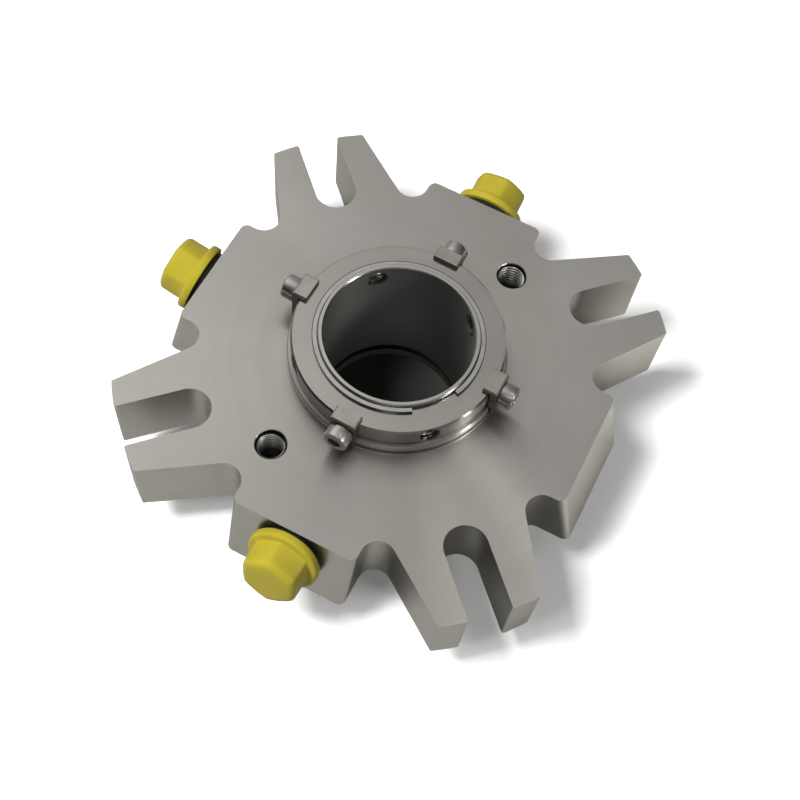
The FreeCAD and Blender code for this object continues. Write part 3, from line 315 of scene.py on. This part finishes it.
def new_material(name, colour, **constants):
    """A material with one Principled shader; constants go on the shader's own sockets."""
    material = bpy.data.materials.new(name)
    material.use_nodes = True
    material.diffuse_color = (*colour, 1)
    tree, shader = opened(material)
    shader.inputs["Base Color"].default_value = (*colour, 1)
    for label, value in constants.items():
        shader.inputs[label.replace("_", " ")].default_value = value
    return material, tree, shader


def two_tones(colour, low, high):
    """The dark end and the light end of a colour, each a share of it."""
    return [tuple(min(1.0, part * share) for part in colour) for share in (low, high)]


def tone(tree, shader, factor, dark, light):
    """Base Color between two colours by a factor."""
    tree.links.new(between(tree, "RGBA", factor, (*dark, 1), (*light, 1)), shader.inputs["Base Color"])


def upright_mask(tree):
    """One on faces that stand upright, zero on flat ones."""
    normal = tree.nodes.new("ShaderNodeTexCoord").outputs["Normal"]
    lean = math_node(tree, "ABSOLUTE", part_of(tree, normal, "Z"))
    return math_node(tree, "LESS_THAN", lean, UPRIGHT_LEAN)


def radius_mask(tree, low, high=ANY_RADIUS, middle=(0, 0)):
    """One where the distance from an upright axis lies between two radii in millimetres."""
    shift = tree.nodes.new("ShaderNodeVectorMath")
    shift.operation = "SUBTRACT"
    shift.inputs[1].default_value = (middle[0] * MM, middle[1] * MM, 0)
    tree.links.new(object_point(tree), shift.inputs[0])
    radius = flat_distance(tree, shift.outputs[0])
    return math_node(tree, "MULTIPLY", math_node(tree, "GREATER_THAN", radius, low * MM),
                     math_node(tree, "LESS_THAN", radius, high * MM))


def darken(tree, shader, mask, share):
    """Take the Base Color down to a share of itself where the mask is one."""
    link = shader.inputs["Base Color"].links[0]
    scale = tree.nodes.new("ShaderNodeVectorMath")
    scale.operation = "SCALE"
    tree.links.new(link.from_socket, scale.inputs[0])
    tree.links.new(math_node(tree, "SUBTRACT", 1.0, math_node(tree, "MULTIPLY", mask, 1 - share)),
                   scale.inputs["Scale"])
    tree.links.new(scale.outputs[0], shader.inputs["Base Color"])


def masked_value(tree, shader, label, mask, value):
    """Give one shader input another value where the mask is one."""
    socket = shader.inputs[label]
    before = socket.links[0].from_socket if socket.links else socket.default_value
    tree.links.new(between(tree, "FLOAT", mask, before, value), socket)


def spread(tree, factor, low, high):
    """A value between low and high for a noise factor within NOISE_SPAN."""
    node = tree.nodes.new("ShaderNodeMapRange")
    node.inputs["From Min"].default_value = NOISE_SPAN[0]
    node.inputs["From Max"].default_value = NOISE_SPAN[1]
    node.inputs["To Min"].default_value = low
    node.inputs["To Max"].default_value = high
    tree.links.new(factor, node.inputs["Value"])
    return node.outputs[0]


def roughen(tree, shader, factor, low, high):
    """Roughness between two values by a noise factor."""
    tree.links.new(spread(tree, factor, low, high), shader.inputs["Roughness"])


def bump(tree, shader, height, distance):
    """A fine relief of the given height in metres."""
    node = tree.nodes.new("ShaderNodeBump")
    node.inputs["Distance"].default_value = distance
    tree.links.new(height, node.inputs["Height"])
    tree.links.new(node.outputs["Normal"], shader.inputs["Normal"])


def ringed_tone(tree, shader, rings, clouds, dark, light):
    """Base Color by slow clouds, with a faint share of turned rings."""
    share = math_node(tree, "ADD", math_node(tree, "MULTIPLY", rings.outputs["Tone"], BROAD_RINGS),
                      math_node(tree, "MULTIPLY", rings.outputs["Height"], FINE_RINGS))
    mixed = math_node(tree, "ADD", spread(tree, clouds.outputs["Tone"], *CLOUD_SPAN), share)
    tone(tree, shader, mixed, dark, light)


def round_tangent(tree, shader):
    """Grain that runs round the object's Z axis."""
    tangent = tree.nodes.new("ShaderNodeTangent")
    tangent.direction_type = "RADIAL"
    tangent.axis = "Z"
    tree.links.new(tangent.outputs[0], shader.inputs["Tangent"])


def ground_side(tree, shader, mask):
    """A ground finish where the mask is one."""
    masked_value(tree, shader, "Roughness", mask, GROUND_ROUGHNESS)
    masked_value(tree, shader, "Anisotropic", mask, GROUND_SHEEN)


def turned_steel(name, colour, roughness, pitch, anisotropy):
    """Steel turned on a lathe: ring marks, a radial sheen and faint clouds."""
    material, tree, shader = new_material(name, colour, Metallic=1.0, Anisotropic=anisotropy,
                                          Anisotropic_Rotation=GRAIN_TURN)
    rings = use_group(tree, TURNED_RINGS, Pitch=pitch)
    clouds = use_group(tree, SMUDGES, Size=0.035)
    ringed_tone(tree, shader, rings, clouds, *two_tones(colour, *TURNED_TONES))
    roughen(tree, shader, clouds.outputs["Tone"], roughness - STEEL_SWING, roughness + STEEL_SWING)
    round_tangent(tree, shader)
    return material


def pressed_steel(name, colour, roughness, upright=1.0):
    """Sheet or wire steel with a fine even grain, and painted shade on its upright sides when upright is
    below one.
    """
    material, tree, shader = new_material(name, colour, Metallic=1.0)
    grain = use_group(tree, SPECKLE, Size=0.0007)
    clouds = use_group(tree, SMUDGES, Size=0.008)
    tone(tree, shader, spread(tree, clouds.outputs["Tone"], 0.0, 1.0), *two_tones(colour, *PRESSED_TONES))
    roughen(tree, shader, grain.outputs["Height"], roughness - STEEL_SWING, roughness + STEEL_SWING)
    # painted shade: the upright sides are taken down to a share of the colour
    if upright < 1:
        darken(tree, shader, upright_mask(tree), upright)
    return material


def soft_material(name, colour, roughness, change, grain_size, depth, **constants):
    """Rubber, plastic, carbon or fibre: clouds of tone and a fine grain."""
    material, tree, shader = new_material(name, colour, **constants)
    grain = use_group(tree, SPECKLE, Size=grain_size)
    clouds = use_group(tree, SMUDGES, Size=0.012)
    tone(tree, shader, spread(tree, clouds.outputs["Tone"], 0.0, 1.0),
         *two_tones(colour, 1 - change, 1 + change))
    roughen(tree, shader, clouds.outputs["Tone"], roughness - SOFT_SWING, roughness + SOFT_SWING)
    bump(tree, shader, grain.outputs["Height"], depth)
    return material


def gland_steel():
    """The plate: turned on its faces and neck, milled on its upright walls, with painted shade inside the
    jacking holes.
    """
    material, tree, shader = new_material("gland_steel", PLATE_COLOUR, Metallic=1.0, Anisotropic=PLATE_SHEEN,
                                          Anisotropic_Rotation=GRAIN_TURN)
    rings = use_group(tree, TURNED_RINGS, Pitch=0.00035)
    clouds = use_group(tree, SMUDGES, Size=0.045)
    ringed_tone(tree, shader, rings, clouds, PLATE_DARK, PLATE_LIGHT)
    roughen(tree, shader, clouds.outputs["Tone"], *PLATE_ROUGHNESS)
    neck = NECK_OUTER + NECK_SKIN
    ground_side(tree, shader, math_node(tree, "MULTIPLY", upright_mask(tree), radius_mask(tree, 0, neck)))
    milled = math_node(tree, "MULTIPLY", upright_mask(tree), radius_mask(tree, neck))
    masked_value(tree, shader, "Anisotropic", milled, MILLED_SHEEN)
    # painted shade: the walls of the jacking holes are darkened to a small share of the colour
    for azimuth in JACK_AZIMUTHS:
        turn = math.radians(azimuth)
        hole = (JACK_REACH * math.cos(turn), JACK_REACH * math.sin(turn))
        darken(tree, shader, radius_mask(tree, 0, JACK_RADIUS + HOLE_SKIN, hole), HOLE_SHADE_SHARE)
    round_tangent(tree, shader)
    return material


def sleeve_steel():
    """The sleeve: turned outside and on its end, honed dull in the bore, where painted shade darkens its
    colour.
    """
    material = turned_steel("sleeve_steel", (0.57, 0.555, 0.525), 0.24, 0.0003, 0.6)
    tree, shader = opened(material)
    bore = math_node(tree, "MULTIPLY", radius_mask(tree, 0, BORE_RADIUS + BORE_SKIN), upright_mask(tree))
    masked_value(tree, shader, "Roughness", bore, BORE_ROUGHNESS)
    # painted shade: the bore wall is taken down to a share of its colour
    darken(tree, shader, bore, BORE_SHADE_SHARE)
    return material


def collar_steel():
    """The collar: fine turned flats and a ground side whose sheen stands upright, with painted shade
    darkening the side.
    """
    material = turned_steel("collar_steel", (0.48, 0.46, 0.42), 0.16, 0.0003, 0.7)
    tree, shader = opened(material)
    ground_side(tree, shader, upright_mask(tree))
    # painted shade: the upright side is darker than the flats
    darken(tree, shader, upright_mask(tree), COLLAR_SIDE_SHADE)
    return material


def spring_steel():
    """The open ring: bright on its flat, with painted shade along both edges and on its upright sides, where
    it meets the sleeve and the collar.
    """
    material = pressed_steel("spring_steel", (0.56, 0.55, 0.535), 0.24)
    tree, shader = opened(material)
    # painted shade: dark bands at the inner and outer edges and on the upright sides stand for the shade in
    # the gaps to the sleeve and the collar
    edges = math_node(tree, "ADD", radius_mask(tree, 0, RING_INNER + RING_EDGE),
                      radius_mask(tree, RING_OUTER - RING_EDGE))
    edges = math_node(tree, "MINIMUM", math_node(tree, "ADD", edges, upright_mask(tree)), 1.0)
    darken(tree, shader, edges, RING_GAP_SHADE_SHARE)
    return material


def thread_steel():
    """A cut thread: pale on its upper crests as a painted highlight, with painted shade towards its roots
    and deeper in the hole.
    """
    # the pale colour, lighter than the plate's, is a painted highlight on the crests
    material = pressed_steel("thread_steel", (0.8, 0.78, 0.74), 0.35)
    tree, shader = opened(material)
    # painted shade: darker towards the roots and from 3 to 15 mm below the top of the plate
    bright, dark = [(PLATE_THICK - depth) * MM for depth in DEEP_SHADE_DEPTHS]
    deep = ramp(tree, part_of(tree, object_point(tree), "Z"), bright, dark, "LINEAR")
    thread_shade = math_node(tree, "MAXIMUM", radius_mask(tree, ROOT_SHADE_RADIUS), deep)
    darken(tree, shader, thread_shade, THREAD_SHADE_SHARE)
    return material


MATERIALS = {
    "gland_steel": gland_steel(),
    "sleeve_steel": sleeve_steel(),
    "collar_steel": collar_steel(),
    # the clips get painted shade on their upright sides
    "clip_steel": pressed_steel("clip_steel", (0.485, 0.46, 0.405), 0.36, 0.4),
    "screw_steel": pressed_steel("screw_steel", (0.50, 0.485, 0.455), 0.31),
    "spring_steel": spring_steel(),
    "thread_steel": thread_steel(),
    "rubber": soft_material("rubber", (0.011, 0.010, 0.008), 0.6, 0.3, 0.0006, 0.00002,
                            Specular_IOR_Level=0.25),
    "gasket": soft_material("gasket_fibre", (0.05, 0.07, 0.06), 0.8, 0.3, 0.0005, 0.00006),
    "carbon": soft_material("carbon_graphite", (0.022, 0.022, 0.024), 0.35, 0.25, 0.0004, 0.00001),
    "silicon_carbide": soft_material("silicon_carbide", (0.045, 0.047, 0.05), 0.18, 0.2, 0.0004, 0.000004),
    "plug_yellow": soft_material("plug_yellow", (0.33, 0.272, 0.02), 0.45, 0.08, 0.0011, 0.00003,
                                 Specular_IOR_Level=0.4),
}
SLOT_OF_NODE = {part["node"]: part["material_slot"] for part in frame["record"]["subparts"]}


# Carried-over nodes

def shade(mesh, sharp_degrees):
    """Smooth shading with sharp edges above an angle."""
    mesh.polygons.foreach_set("use_smooth", [True] * len(mesh.polygons))
    mesh.set_sharp_from_angle(angle=math.radians(sharp_degrees))


def dress(node, edge_mm):
    """Give a CAD node its finish, and break its sharp edges if edge_mm isn't zero."""
    piece = frame["nodes"][node]
    piece.data.materials.clear()
    piece.data.materials.append(MATERIALS[SLOT_OF_NODE[node]])
    shade(piece.data, SHARP_DEGREES)
    if edge_mm:
        flat = piece.modifiers.new("merge_flats", "DECIMATE")
        flat.decimate_type = "DISSOLVE"
        flat.angle_limit = math.radians(FLAT_DEGREES)
        edge = piece.modifiers.new("broken_edges", "BEVEL")
        edge.width = edge_mm * MM
        edge.segments = 2
        edge.limit_method = "ANGLE"
        edge.angle_limit = math.radians(SOFT_DEGREES)
        edge.harden_normals = True


REPLACED = ["%s_%d" % (name, k) for name, count in (("clip_screw", 4), ("set_screw", 4), ("port_plug", 3))
            for k in range(1, count + 1)]

for node in frame["nodes"]:
    if node not in REPLACED:
        dress(node, BROKEN_EDGES.get(node.rstrip("_1234"), 0))


# Turned, moulded and threaded pieces

def round_rim(angle):
    """Reach of a circle of unit radius."""
    return 1.0


def hexagon_rim(angle):
    """Reach of a hexagon with unit half width, with a corner at angle zero."""
    side = math.pi / 3
    return 1 / math.cos(angle % side - side / 2)


def soft_hexagon(angle):
    """The plug's hexagon, whose corners run over softly into a circle of PLUG_ROUND."""
    bend = -PLUG_BEND
    return (hexagon_rim(angle) ** bend + PLUG_ROUND ** bend) ** (1 / bend) * PLUG_SWELL


def add_corner(bm, reach, angle, height):
    """A corner point given by its reach from the axis, angle and height."""
    return bm.verts.new((reach * math.cos(angle) * MM, reach * math.sin(angle) * MM, height * MM))


def add_turned(bm, outline, segments):
    """A closed form from (height, radius, rim) rings; the first and last rings close the ends."""
    angles = [2 * math.pi * k / segments for k in range(segments)]
    rings = []
    for height, radius, rim in outline:
        rings.append([add_corner(bm, radius * rim(angle), angle, height) for angle in angles])
    for lower, upper in zip(rings, rings[1:]):
        for k in range(segments):
            after = (k + 1) % segments
            bm.faces.new((lower[k], lower[after], upper[after], upper[k]))
    bm.faces.new(rings[0][::-1])
    bm.faces.new(rings[-1])


def add_thread(bm, root, crest, pitch, start, stop, segments, flat=0.07, foot=0.44):
    """A helical ridge from the root radius to the crest radius, which may be inside or outside.

    flat and foot are the half widths of its crest and its root, as shares of the pitch.
    """
    steps = int((stop - start) / pitch * segments)
    runout = segments // 2
    rows = []
    for k in range(steps + 1):
        angle = 2 * math.pi * k / segments
        height = start + pitch * k / segments
        full = min(1.0, k / runout, (steps - k) / runout)
        tip = root + (crest - root) * max(0.02, full)
        profile = ((-foot, root), (-flat, tip), (flat, tip), (foot, root))
        rows.append([add_corner(bm, reach, angle, height + shift * pitch) for shift, reach in profile])
    for row, after in zip(rows, rows[1:]):
        for k in range(4):
            bm.faces.new((row[k], after[k], after[(k + 1) % 4], row[(k + 1) % 4]))
    bm.faces.new(rows[0])
    bm.faces.new(rows[-1][::-1])


def make_piece(name, bm, body, slot, place, replaced=None, sharp_degrees=SHARP_DEGREES):
    """Turn a bmesh into a piece that rides on a body."""
    bmesh.ops.recalc_face_normals(bm, faces=bm.faces)
    mesh = bpy.data.meshes.new(name)
    bm.to_mesh(mesh)
    bm.free()
    shade(mesh, sharp_degrees)
    piece = bpy.data.objects.new(name, mesh)
    bpy.context.scene.collection.objects.link(piece)
    piece.matrix_world = place
    mesh.materials.append(MATERIALS[slot])
    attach(piece, body)
    if replaced:
        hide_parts(replaced)
    return piece


def outward(azimuth, reach, height, tilt=0, spin=0):
    """Place of a piece whose own Z axis points outward at an azimuth, tilted up."""
    turn = Matrix.Rotation(math.radians(azimuth), 4, "Z")
    arm = Matrix.Translation((reach * MM, 0, height * MM))
    lean = Matrix.Rotation(math.radians(90 - tilt), 4, "Y")
    return turn @ arm @ lean @ Matrix.Rotation(math.radians(spin), 4, "Z")


def middle_height(node):
    """Height of the middle of a CAD node, in millimetres."""
    low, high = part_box(node)
    return (low[2] + high[2]) / 2 / MM


def clip_screw(index, azimuth):
    """A cap screw with a smooth head, a socket and a threaded shank."""
    half = CAP_SOCKET / 2
    top = CAP_HEAD_HEIGHT
    head = CAP_HEAD_RADIUS
    bm = bmesh.new()
    add_turned(bm, [
        (-CAP_LENGTH, CAP_ROOT - CAP_POINT, round_rim),
        (CAP_POINT - CAP_LENGTH, CAP_ROOT, round_rim),
        (0, CAP_ROOT, round_rim),
        (0, head - 0.35, round_rim),
        (0.35, head - 0.05, round_rim),
        (0.8, head, round_rim),
        (top - 0.9, head, round_rim),
        (top - 0.5, head - 0.12, round_rim),
        (top - 0.15, head - 0.45, round_rim),
        (top, head - 0.8, round_rim),
        (top, half + SOCKET_MOUTH, round_rim),
        (top - 0.25, half, hexagon_rim),
        (top - CAP_SOCKET_DEPTH, half, hexagon_rim),
        (top - CAP_SOCKET_DEPTH - 0.5, SOCKET_POINT, round_rim)], SEGMENTS * 2)
    add_thread(bm, CAP_ROOT - SCREW_SINK, CAP_RADIUS, CAP_PITCH, start=0.6 - CAP_LENGTH, stop=-0.5,
               segments=36)
    name = "clip_screw_%d" % index
    make_piece("turned_" + name, bm, name, "screw_steel",
               outward(azimuth, CAP_OUTER, middle_height(name)), name)


def set_screw(index, azimuth):
    """A threaded set screw with a socket and a cup point."""
    half = SET_SOCKET / 2
    bm = bmesh.new()
    add_turned(bm, [
        (0.7 - SET_LENGTH, SOCKET_POINT, round_rim),
        (-SET_LENGTH, SET_CUP_INNER, round_rim),
        (-SET_LENGTH, SET_CUP_OUTER, round_rim),
        (0.9 - SET_LENGTH, SET_ROOT, round_rim),
        (-0.5, SET_ROOT, round_rim),
        (-0.1, SET_ROOT, round_rim),
        (0, SET_ROOT - 0.1, round_rim),
        (0, half + SOCKET_MOUTH, round_rim),
        (-0.2, half, hexagon_rim),
        (-SET_SOCKET_DEPTH, half, hexagon_rim),
        (-SET_SOCKET_DEPTH - 0.4, SOCKET_POINT, round_rim)], SEGMENTS)
    add_thread(bm, SET_ROOT - SCREW_SINK, SET_RADIUS, SET_PITCH, start=1.4 - SET_LENGTH, stop=-0.7,
               segments=48)
    name = "set_screw_%d" % index
    make_piece("threaded_" + name, bm, name, "screw_steel",
               outward(azimuth, SET_OUTER, middle_height(name)), name)


def port_plug(index, azimuth, spin):
    """A moulded plug: threaded hollow shank, round flange and hexagon head with soft edges."""
    top = PLUG_SEAL + PLUG_FLANGE
    end = top + PLUG_HEAD
    half = PLUG_HEX / 2
    hollow = PLUG_SHANK - PLUG_WALL
    rim = PLUG_FLANGE_RADIUS

    bm = bmesh.new()
    add_turned(bm, [
        (0, 0.4, round_rim),
        (0, hollow, round_rim),
        (-PLUG_SHANK_LENGTH, hollow, round_rim),
        (-PLUG_SHANK_LENGTH, PLUG_SHANK_ROOT - 0.6, round_rim),
        (0.8 - PLUG_SHANK_LENGTH, PLUG_SHANK_ROOT, round_rim),
        (PLUG_SEAL, PLUG_SHANK_ROOT, round_rim),
        (PLUG_SEAL, rim - 0.5, round_rim),
        (PLUG_SEAL + 0.15, rim - 0.15, round_rim),
        (PLUG_SEAL + 0.5, rim, round_rim),
        (top - 1.1, rim, round_rim),
        (top - 0.7, rim - 0.1, round_rim),
        (top - 0.32, rim - 0.35, round_rim),
        (top - 0.08, rim - 0.75, round_rim),
        (top, rim - 1.2, round_rim),
        (top, half + 0.5, soft_hexagon),
        (top + 0.15, half + 0.15, soft_hexagon),
        (top + 0.5, half, soft_hexagon),
        (end - 2.6, half - 0.1, soft_hexagon),
        (end - 1.6, half - 0.35, soft_hexagon),
        (end - 0.85, half - 0.85, soft_hexagon),
        (end - 0.35, half - 1.55, soft_hexagon),
        (end - 0.08, half - 2.4, soft_hexagon),
        (end, half - 3.4, soft_hexagon)], SEGMENTS)
    add_thread(bm, PLUG_SHANK_ROOT - PLUG_SINK, PLUG_SHANK, PLUG_PITCH, start=1.2 - PLUG_SHANK_LENGTH,
               stop=-0.6, segments=48)
    reach = LUG_REACH + (PLATE_THICK - PORT_HEIGHT) * math.tan(math.radians(PORT_TILT))
    name = "port_plug_%d" % index
    make_piece("moulded_" + name, bm, "plug_%d" % index, "plug_yellow",
               outward(azimuth, reach, PORT_HEIGHT, PORT_TILT, spin), name, SOFT_DEGREES)


def jacking_thread(index, azimuth):
    """The thread inside a jacking hole."""
    bm = bmesh.new()
    margin = JACK_EDGE + JACK_RUNOUT
    add_thread(bm, JACK_RADIUS + JACK_SINK, JACK_MINOR, JACK_PITCH, start=margin, stop=PLATE_THICK - margin,
               segments=60, flat=JACK_CREST)
    place = Matrix.Rotation(math.radians(azimuth), 4, "Z") @ Matrix.Translation((JACK_REACH * MM, 0, 0))
    thread = make_piece("jacking_thread_%d" % index, bm, "gland", "gland_steel", place)
    thread.data.materials[0] = MATERIALS["thread_steel"]


for index, azimuth in enumerate(LUG_AZIMUTHS, 1):
    clip_screw(index, azimuth + ROTOR_TURN)
for index, azimuth in enumerate(SLOT_AZIMUTHS, 1):
    set_screw(index, azimuth + ROTOR_TURN)
for index, (azimuth, spin) in enumerate(zip(LUG_AZIMUTHS, PLUG_SPINS), 1):
    port_plug(index, azimuth, spin)
for index, azimuth in enumerate(JACK_AZIMUTHS, 1):
    jacking_thread(index, azimuth)


# Studio

# soft bright regions that the metal mirrors: azimuth, elevation, strength
ROOM = ((60, 20, 0.26), (90, 20, 0.38), (120, 20, 0.16), (300, 20, 0.15), (0, 48, 0.17), (120, 48, 1.02),
        (20, 74, 0.06), (110, 74, 0.50), (-110, 42, 0.30))
ROOM_FOCUS = 9
ROOM_FILL = 0.15

# lamps: name, azimuth, elevation, distance, width, height, power, whether the metal mirrors it
LAMPS = (("key_left", 172, 60, 1.5, 0.42, 0.42, 29, False),
         ("key_front", -165, 46, 1.5, 0.42, 0.42, 7, False),
         ("window", -32, 62, 1.3, 0.07, 0.2, 0.5, True),
         ("strip", -47, 30, 1.5, 0.1, 0.4, 4.2, True),
         ("overhead", -15, 79, 1.3, 0.05, 0.12, 0.2, True),
         ("behind_camera", -115, 62, 1.5, 0.25, 0.25, 0.6, True))
LAMP_AIM = Vector((0, 0, 0.01))

# floor, in metres; for all rays but the camera's the floor carries painted shade on its left part and
# painted light on its right part, so the metal mirrors its left part darker than its right part
FLOOR_HALF = 6.0
FLOOR_DROP = 0.0002
FLOOR_TONE = (0.95, 0.95, 0.95, 1)
FLOOR_GLOW = 0.06
LEFT_MIRRORED_SHADE = (0.30, 0.302, 0.285, 1)
RIGHT_MIRRORED_LIGHT = (0.58, 0.575, 0.55, 1)
SIDE_EDGES = (0.02, 0.12)
FAR_EDGES = (0.6, 1.4)
# painted shade on the floor under the bore
UNDER_SHADE_TONE = (0.035, 0.035, 0.033, 1)
UNDER_EDGES = (0.034, 0.060)

# a spot of stray light under the bore, in millimetres
STRAY_AZIMUTH = -115
STRAY_REACH = 12
STRAY_RADIUS = 12
STRAY_GLOW = 0.5


def around_seal(azimuth, elevation, distance):
    """A place round the seal, in metres."""
    turn, rise = math.radians(azimuth), math.radians(elevation)
    return (distance * math.cos(rise) * math.cos(turn), distance * math.cos(rise) * math.sin(turn),
            distance * math.sin(rise))


def make_floor():
    """A plain pale floor with painted shade under the bore, and, where the metal mirrors it, painted shade
    on the left and painted light on the right.
    """
    bm = bmesh.new()
    bmesh.ops.create_grid(bm, x_segments=1, y_segments=1, size=FLOOR_HALF)
    mesh = bpy.data.meshes.new("floor")
    bm.to_mesh(mesh)
    bm.free()
    floor = bpy.data.objects.new("floor", mesh)
    bpy.context.scene.collection.objects.link(floor)
    floor.location.z = cad_box[0][2] - FLOOR_DROP
    material, tree, shader = new_material("pale_floor", FLOOR_TONE[:3], Roughness=0.9,
                                          Specular_IOR_Level=0.1)
    camera_ray = tree.nodes.new("ShaderNodeLightPath").outputs["Is Camera Ray"]
    point = object_point(tree)
    distance = flat_distance(tree, point)
    # painted shade: inside these radii the floor takes the dark under tone
    outside = ramp(tree, distance, *UNDER_EDGES)
    right = ramp(tree, part_of(tree, point, "X"), *SIDE_EDGES)
    # painted shade and painted light: what the metal mirrors of the floor goes from a dark left tone to a
    # light right tone
    mirrored = between(tree, "RGBA", right, LEFT_MIRRORED_SHADE, RIGHT_MIRRORED_LIGHT)
    seen = between(tree, "RGBA", camera_ray, mirrored, FLOOR_TONE)
    tree.links.new(between(tree, "RGBA", outside, UNDER_SHADE_TONE, seen), shader.inputs["Base Color"])

    bright = math_node(tree, "ADD", math_node(tree, "MULTIPLY", outside, FLOOR_GLOW),
                       ramp(tree, distance, *FAR_EDGES))
    turn = math.radians(STRAY_AZIMUTH)
    middle = (STRAY_REACH * math.cos(turn), STRAY_REACH * math.sin(turn))
    stray = math_node(tree, "MULTIPLY", radius_mask(tree, 0, STRAY_RADIUS, middle), STRAY_GLOW)
    glow = math_node(tree, "ADD", math_node(tree, "MULTIPLY", camera_ray, bright), stray)
    shader.inputs["Emission Color"].default_value = (1, 1, 1, 1)
    tree.links.new(glow, shader.inputs["Emission Strength"])
    mesh.materials.append(material)


def make_world():
    """A room of soft bright regions that only the metal mirrors, and an even fill for all else."""
    world = bpy.data.worlds.new("studio")
    bpy.context.scene.world = world
    world.use_nodes = True
    tree = world.node_tree
    background = tree.nodes["Background"]
    way = tree.nodes.new("ShaderNodeTexCoord").outputs["Generated"]
    total = 0.0
    for azimuth, elevation, strength in ROOM:
        toward = tree.nodes.new("ShaderNodeVectorMath")
        toward.operation = "DOT_PRODUCT"
        toward.inputs[1].default_value = around_seal(azimuth, elevation, 1.0)
        tree.links.new(way, toward.inputs[0])
        aside = math_node(tree, "SUBTRACT", toward.outputs["Value"], 1.0)
        falloff = math_node(tree, "EXPONENT", math_node(tree, "MULTIPLY", aside, ROOM_FOCUS))
        glow = math_node(tree, "MULTIPLY", falloff, strength)
        total = math_node(tree, "ADD", glow, total)
    path = tree.nodes.new("ShaderNodeLightPath")
    mirrored = between(tree, "FLOAT", path.outputs["Is Glossy Ray"], ROOM_FILL, total)
    background.inputs["Color"].default_value = (1, 1, 1, 1)
    tree.links.new(between(tree, "FLOAT", path.outputs["Is Camera Ray"], mirrored, 1.0),
                   background.inputs["Strength"])


def add_softbox(name, azimuth, elevation, distance, width, height, power, mirrored):
    """A rectangular lamp that looks at the seal."""
    light = bpy.data.lights.new(name, "AREA")
    light.shape = "RECTANGLE"
    light.size = width
    light.size_y = height
    light.energy = power
    lamp = bpy.data.objects.new(name, light)
    bpy.context.scene.collection.objects.link(lamp)
    place = Vector(around_seal(azimuth, elevation, distance))
    lamp.location = place
    lamp.rotation_euler = (LAMP_AIM - place).to_track_quat("-Z", "Y").to_euler()
    lamp.visible_glossy = mirrored


def make_camera():
    """The camera of the photograph."""
    data = bpy.data.cameras.new("photo_camera")
    data.sensor_fit = "HORIZONTAL"
    data.angle = 2 * math.atan(IMAGE_WIDTH / 2 / FOCAL_PIXELS)
    data.clip_start, data.clip_end = CAMERA_RANGE
    camera = bpy.data.objects.new("photo_camera", data)
    bpy.context.scene.collection.objects.link(camera)
    camera.location = [part * MM for part in CAMERA_PLACE]
    camera.rotation_euler = [math.radians(part) for part in CAMERA_TURN]
    bpy.context.scene.camera = camera


make_floor()
make_world()
for lamp in LAMPS:
    add_softbox(*lamp)
make_camera()

scene = bpy.context.scene
scene.view_settings.view_transform = "Standard"
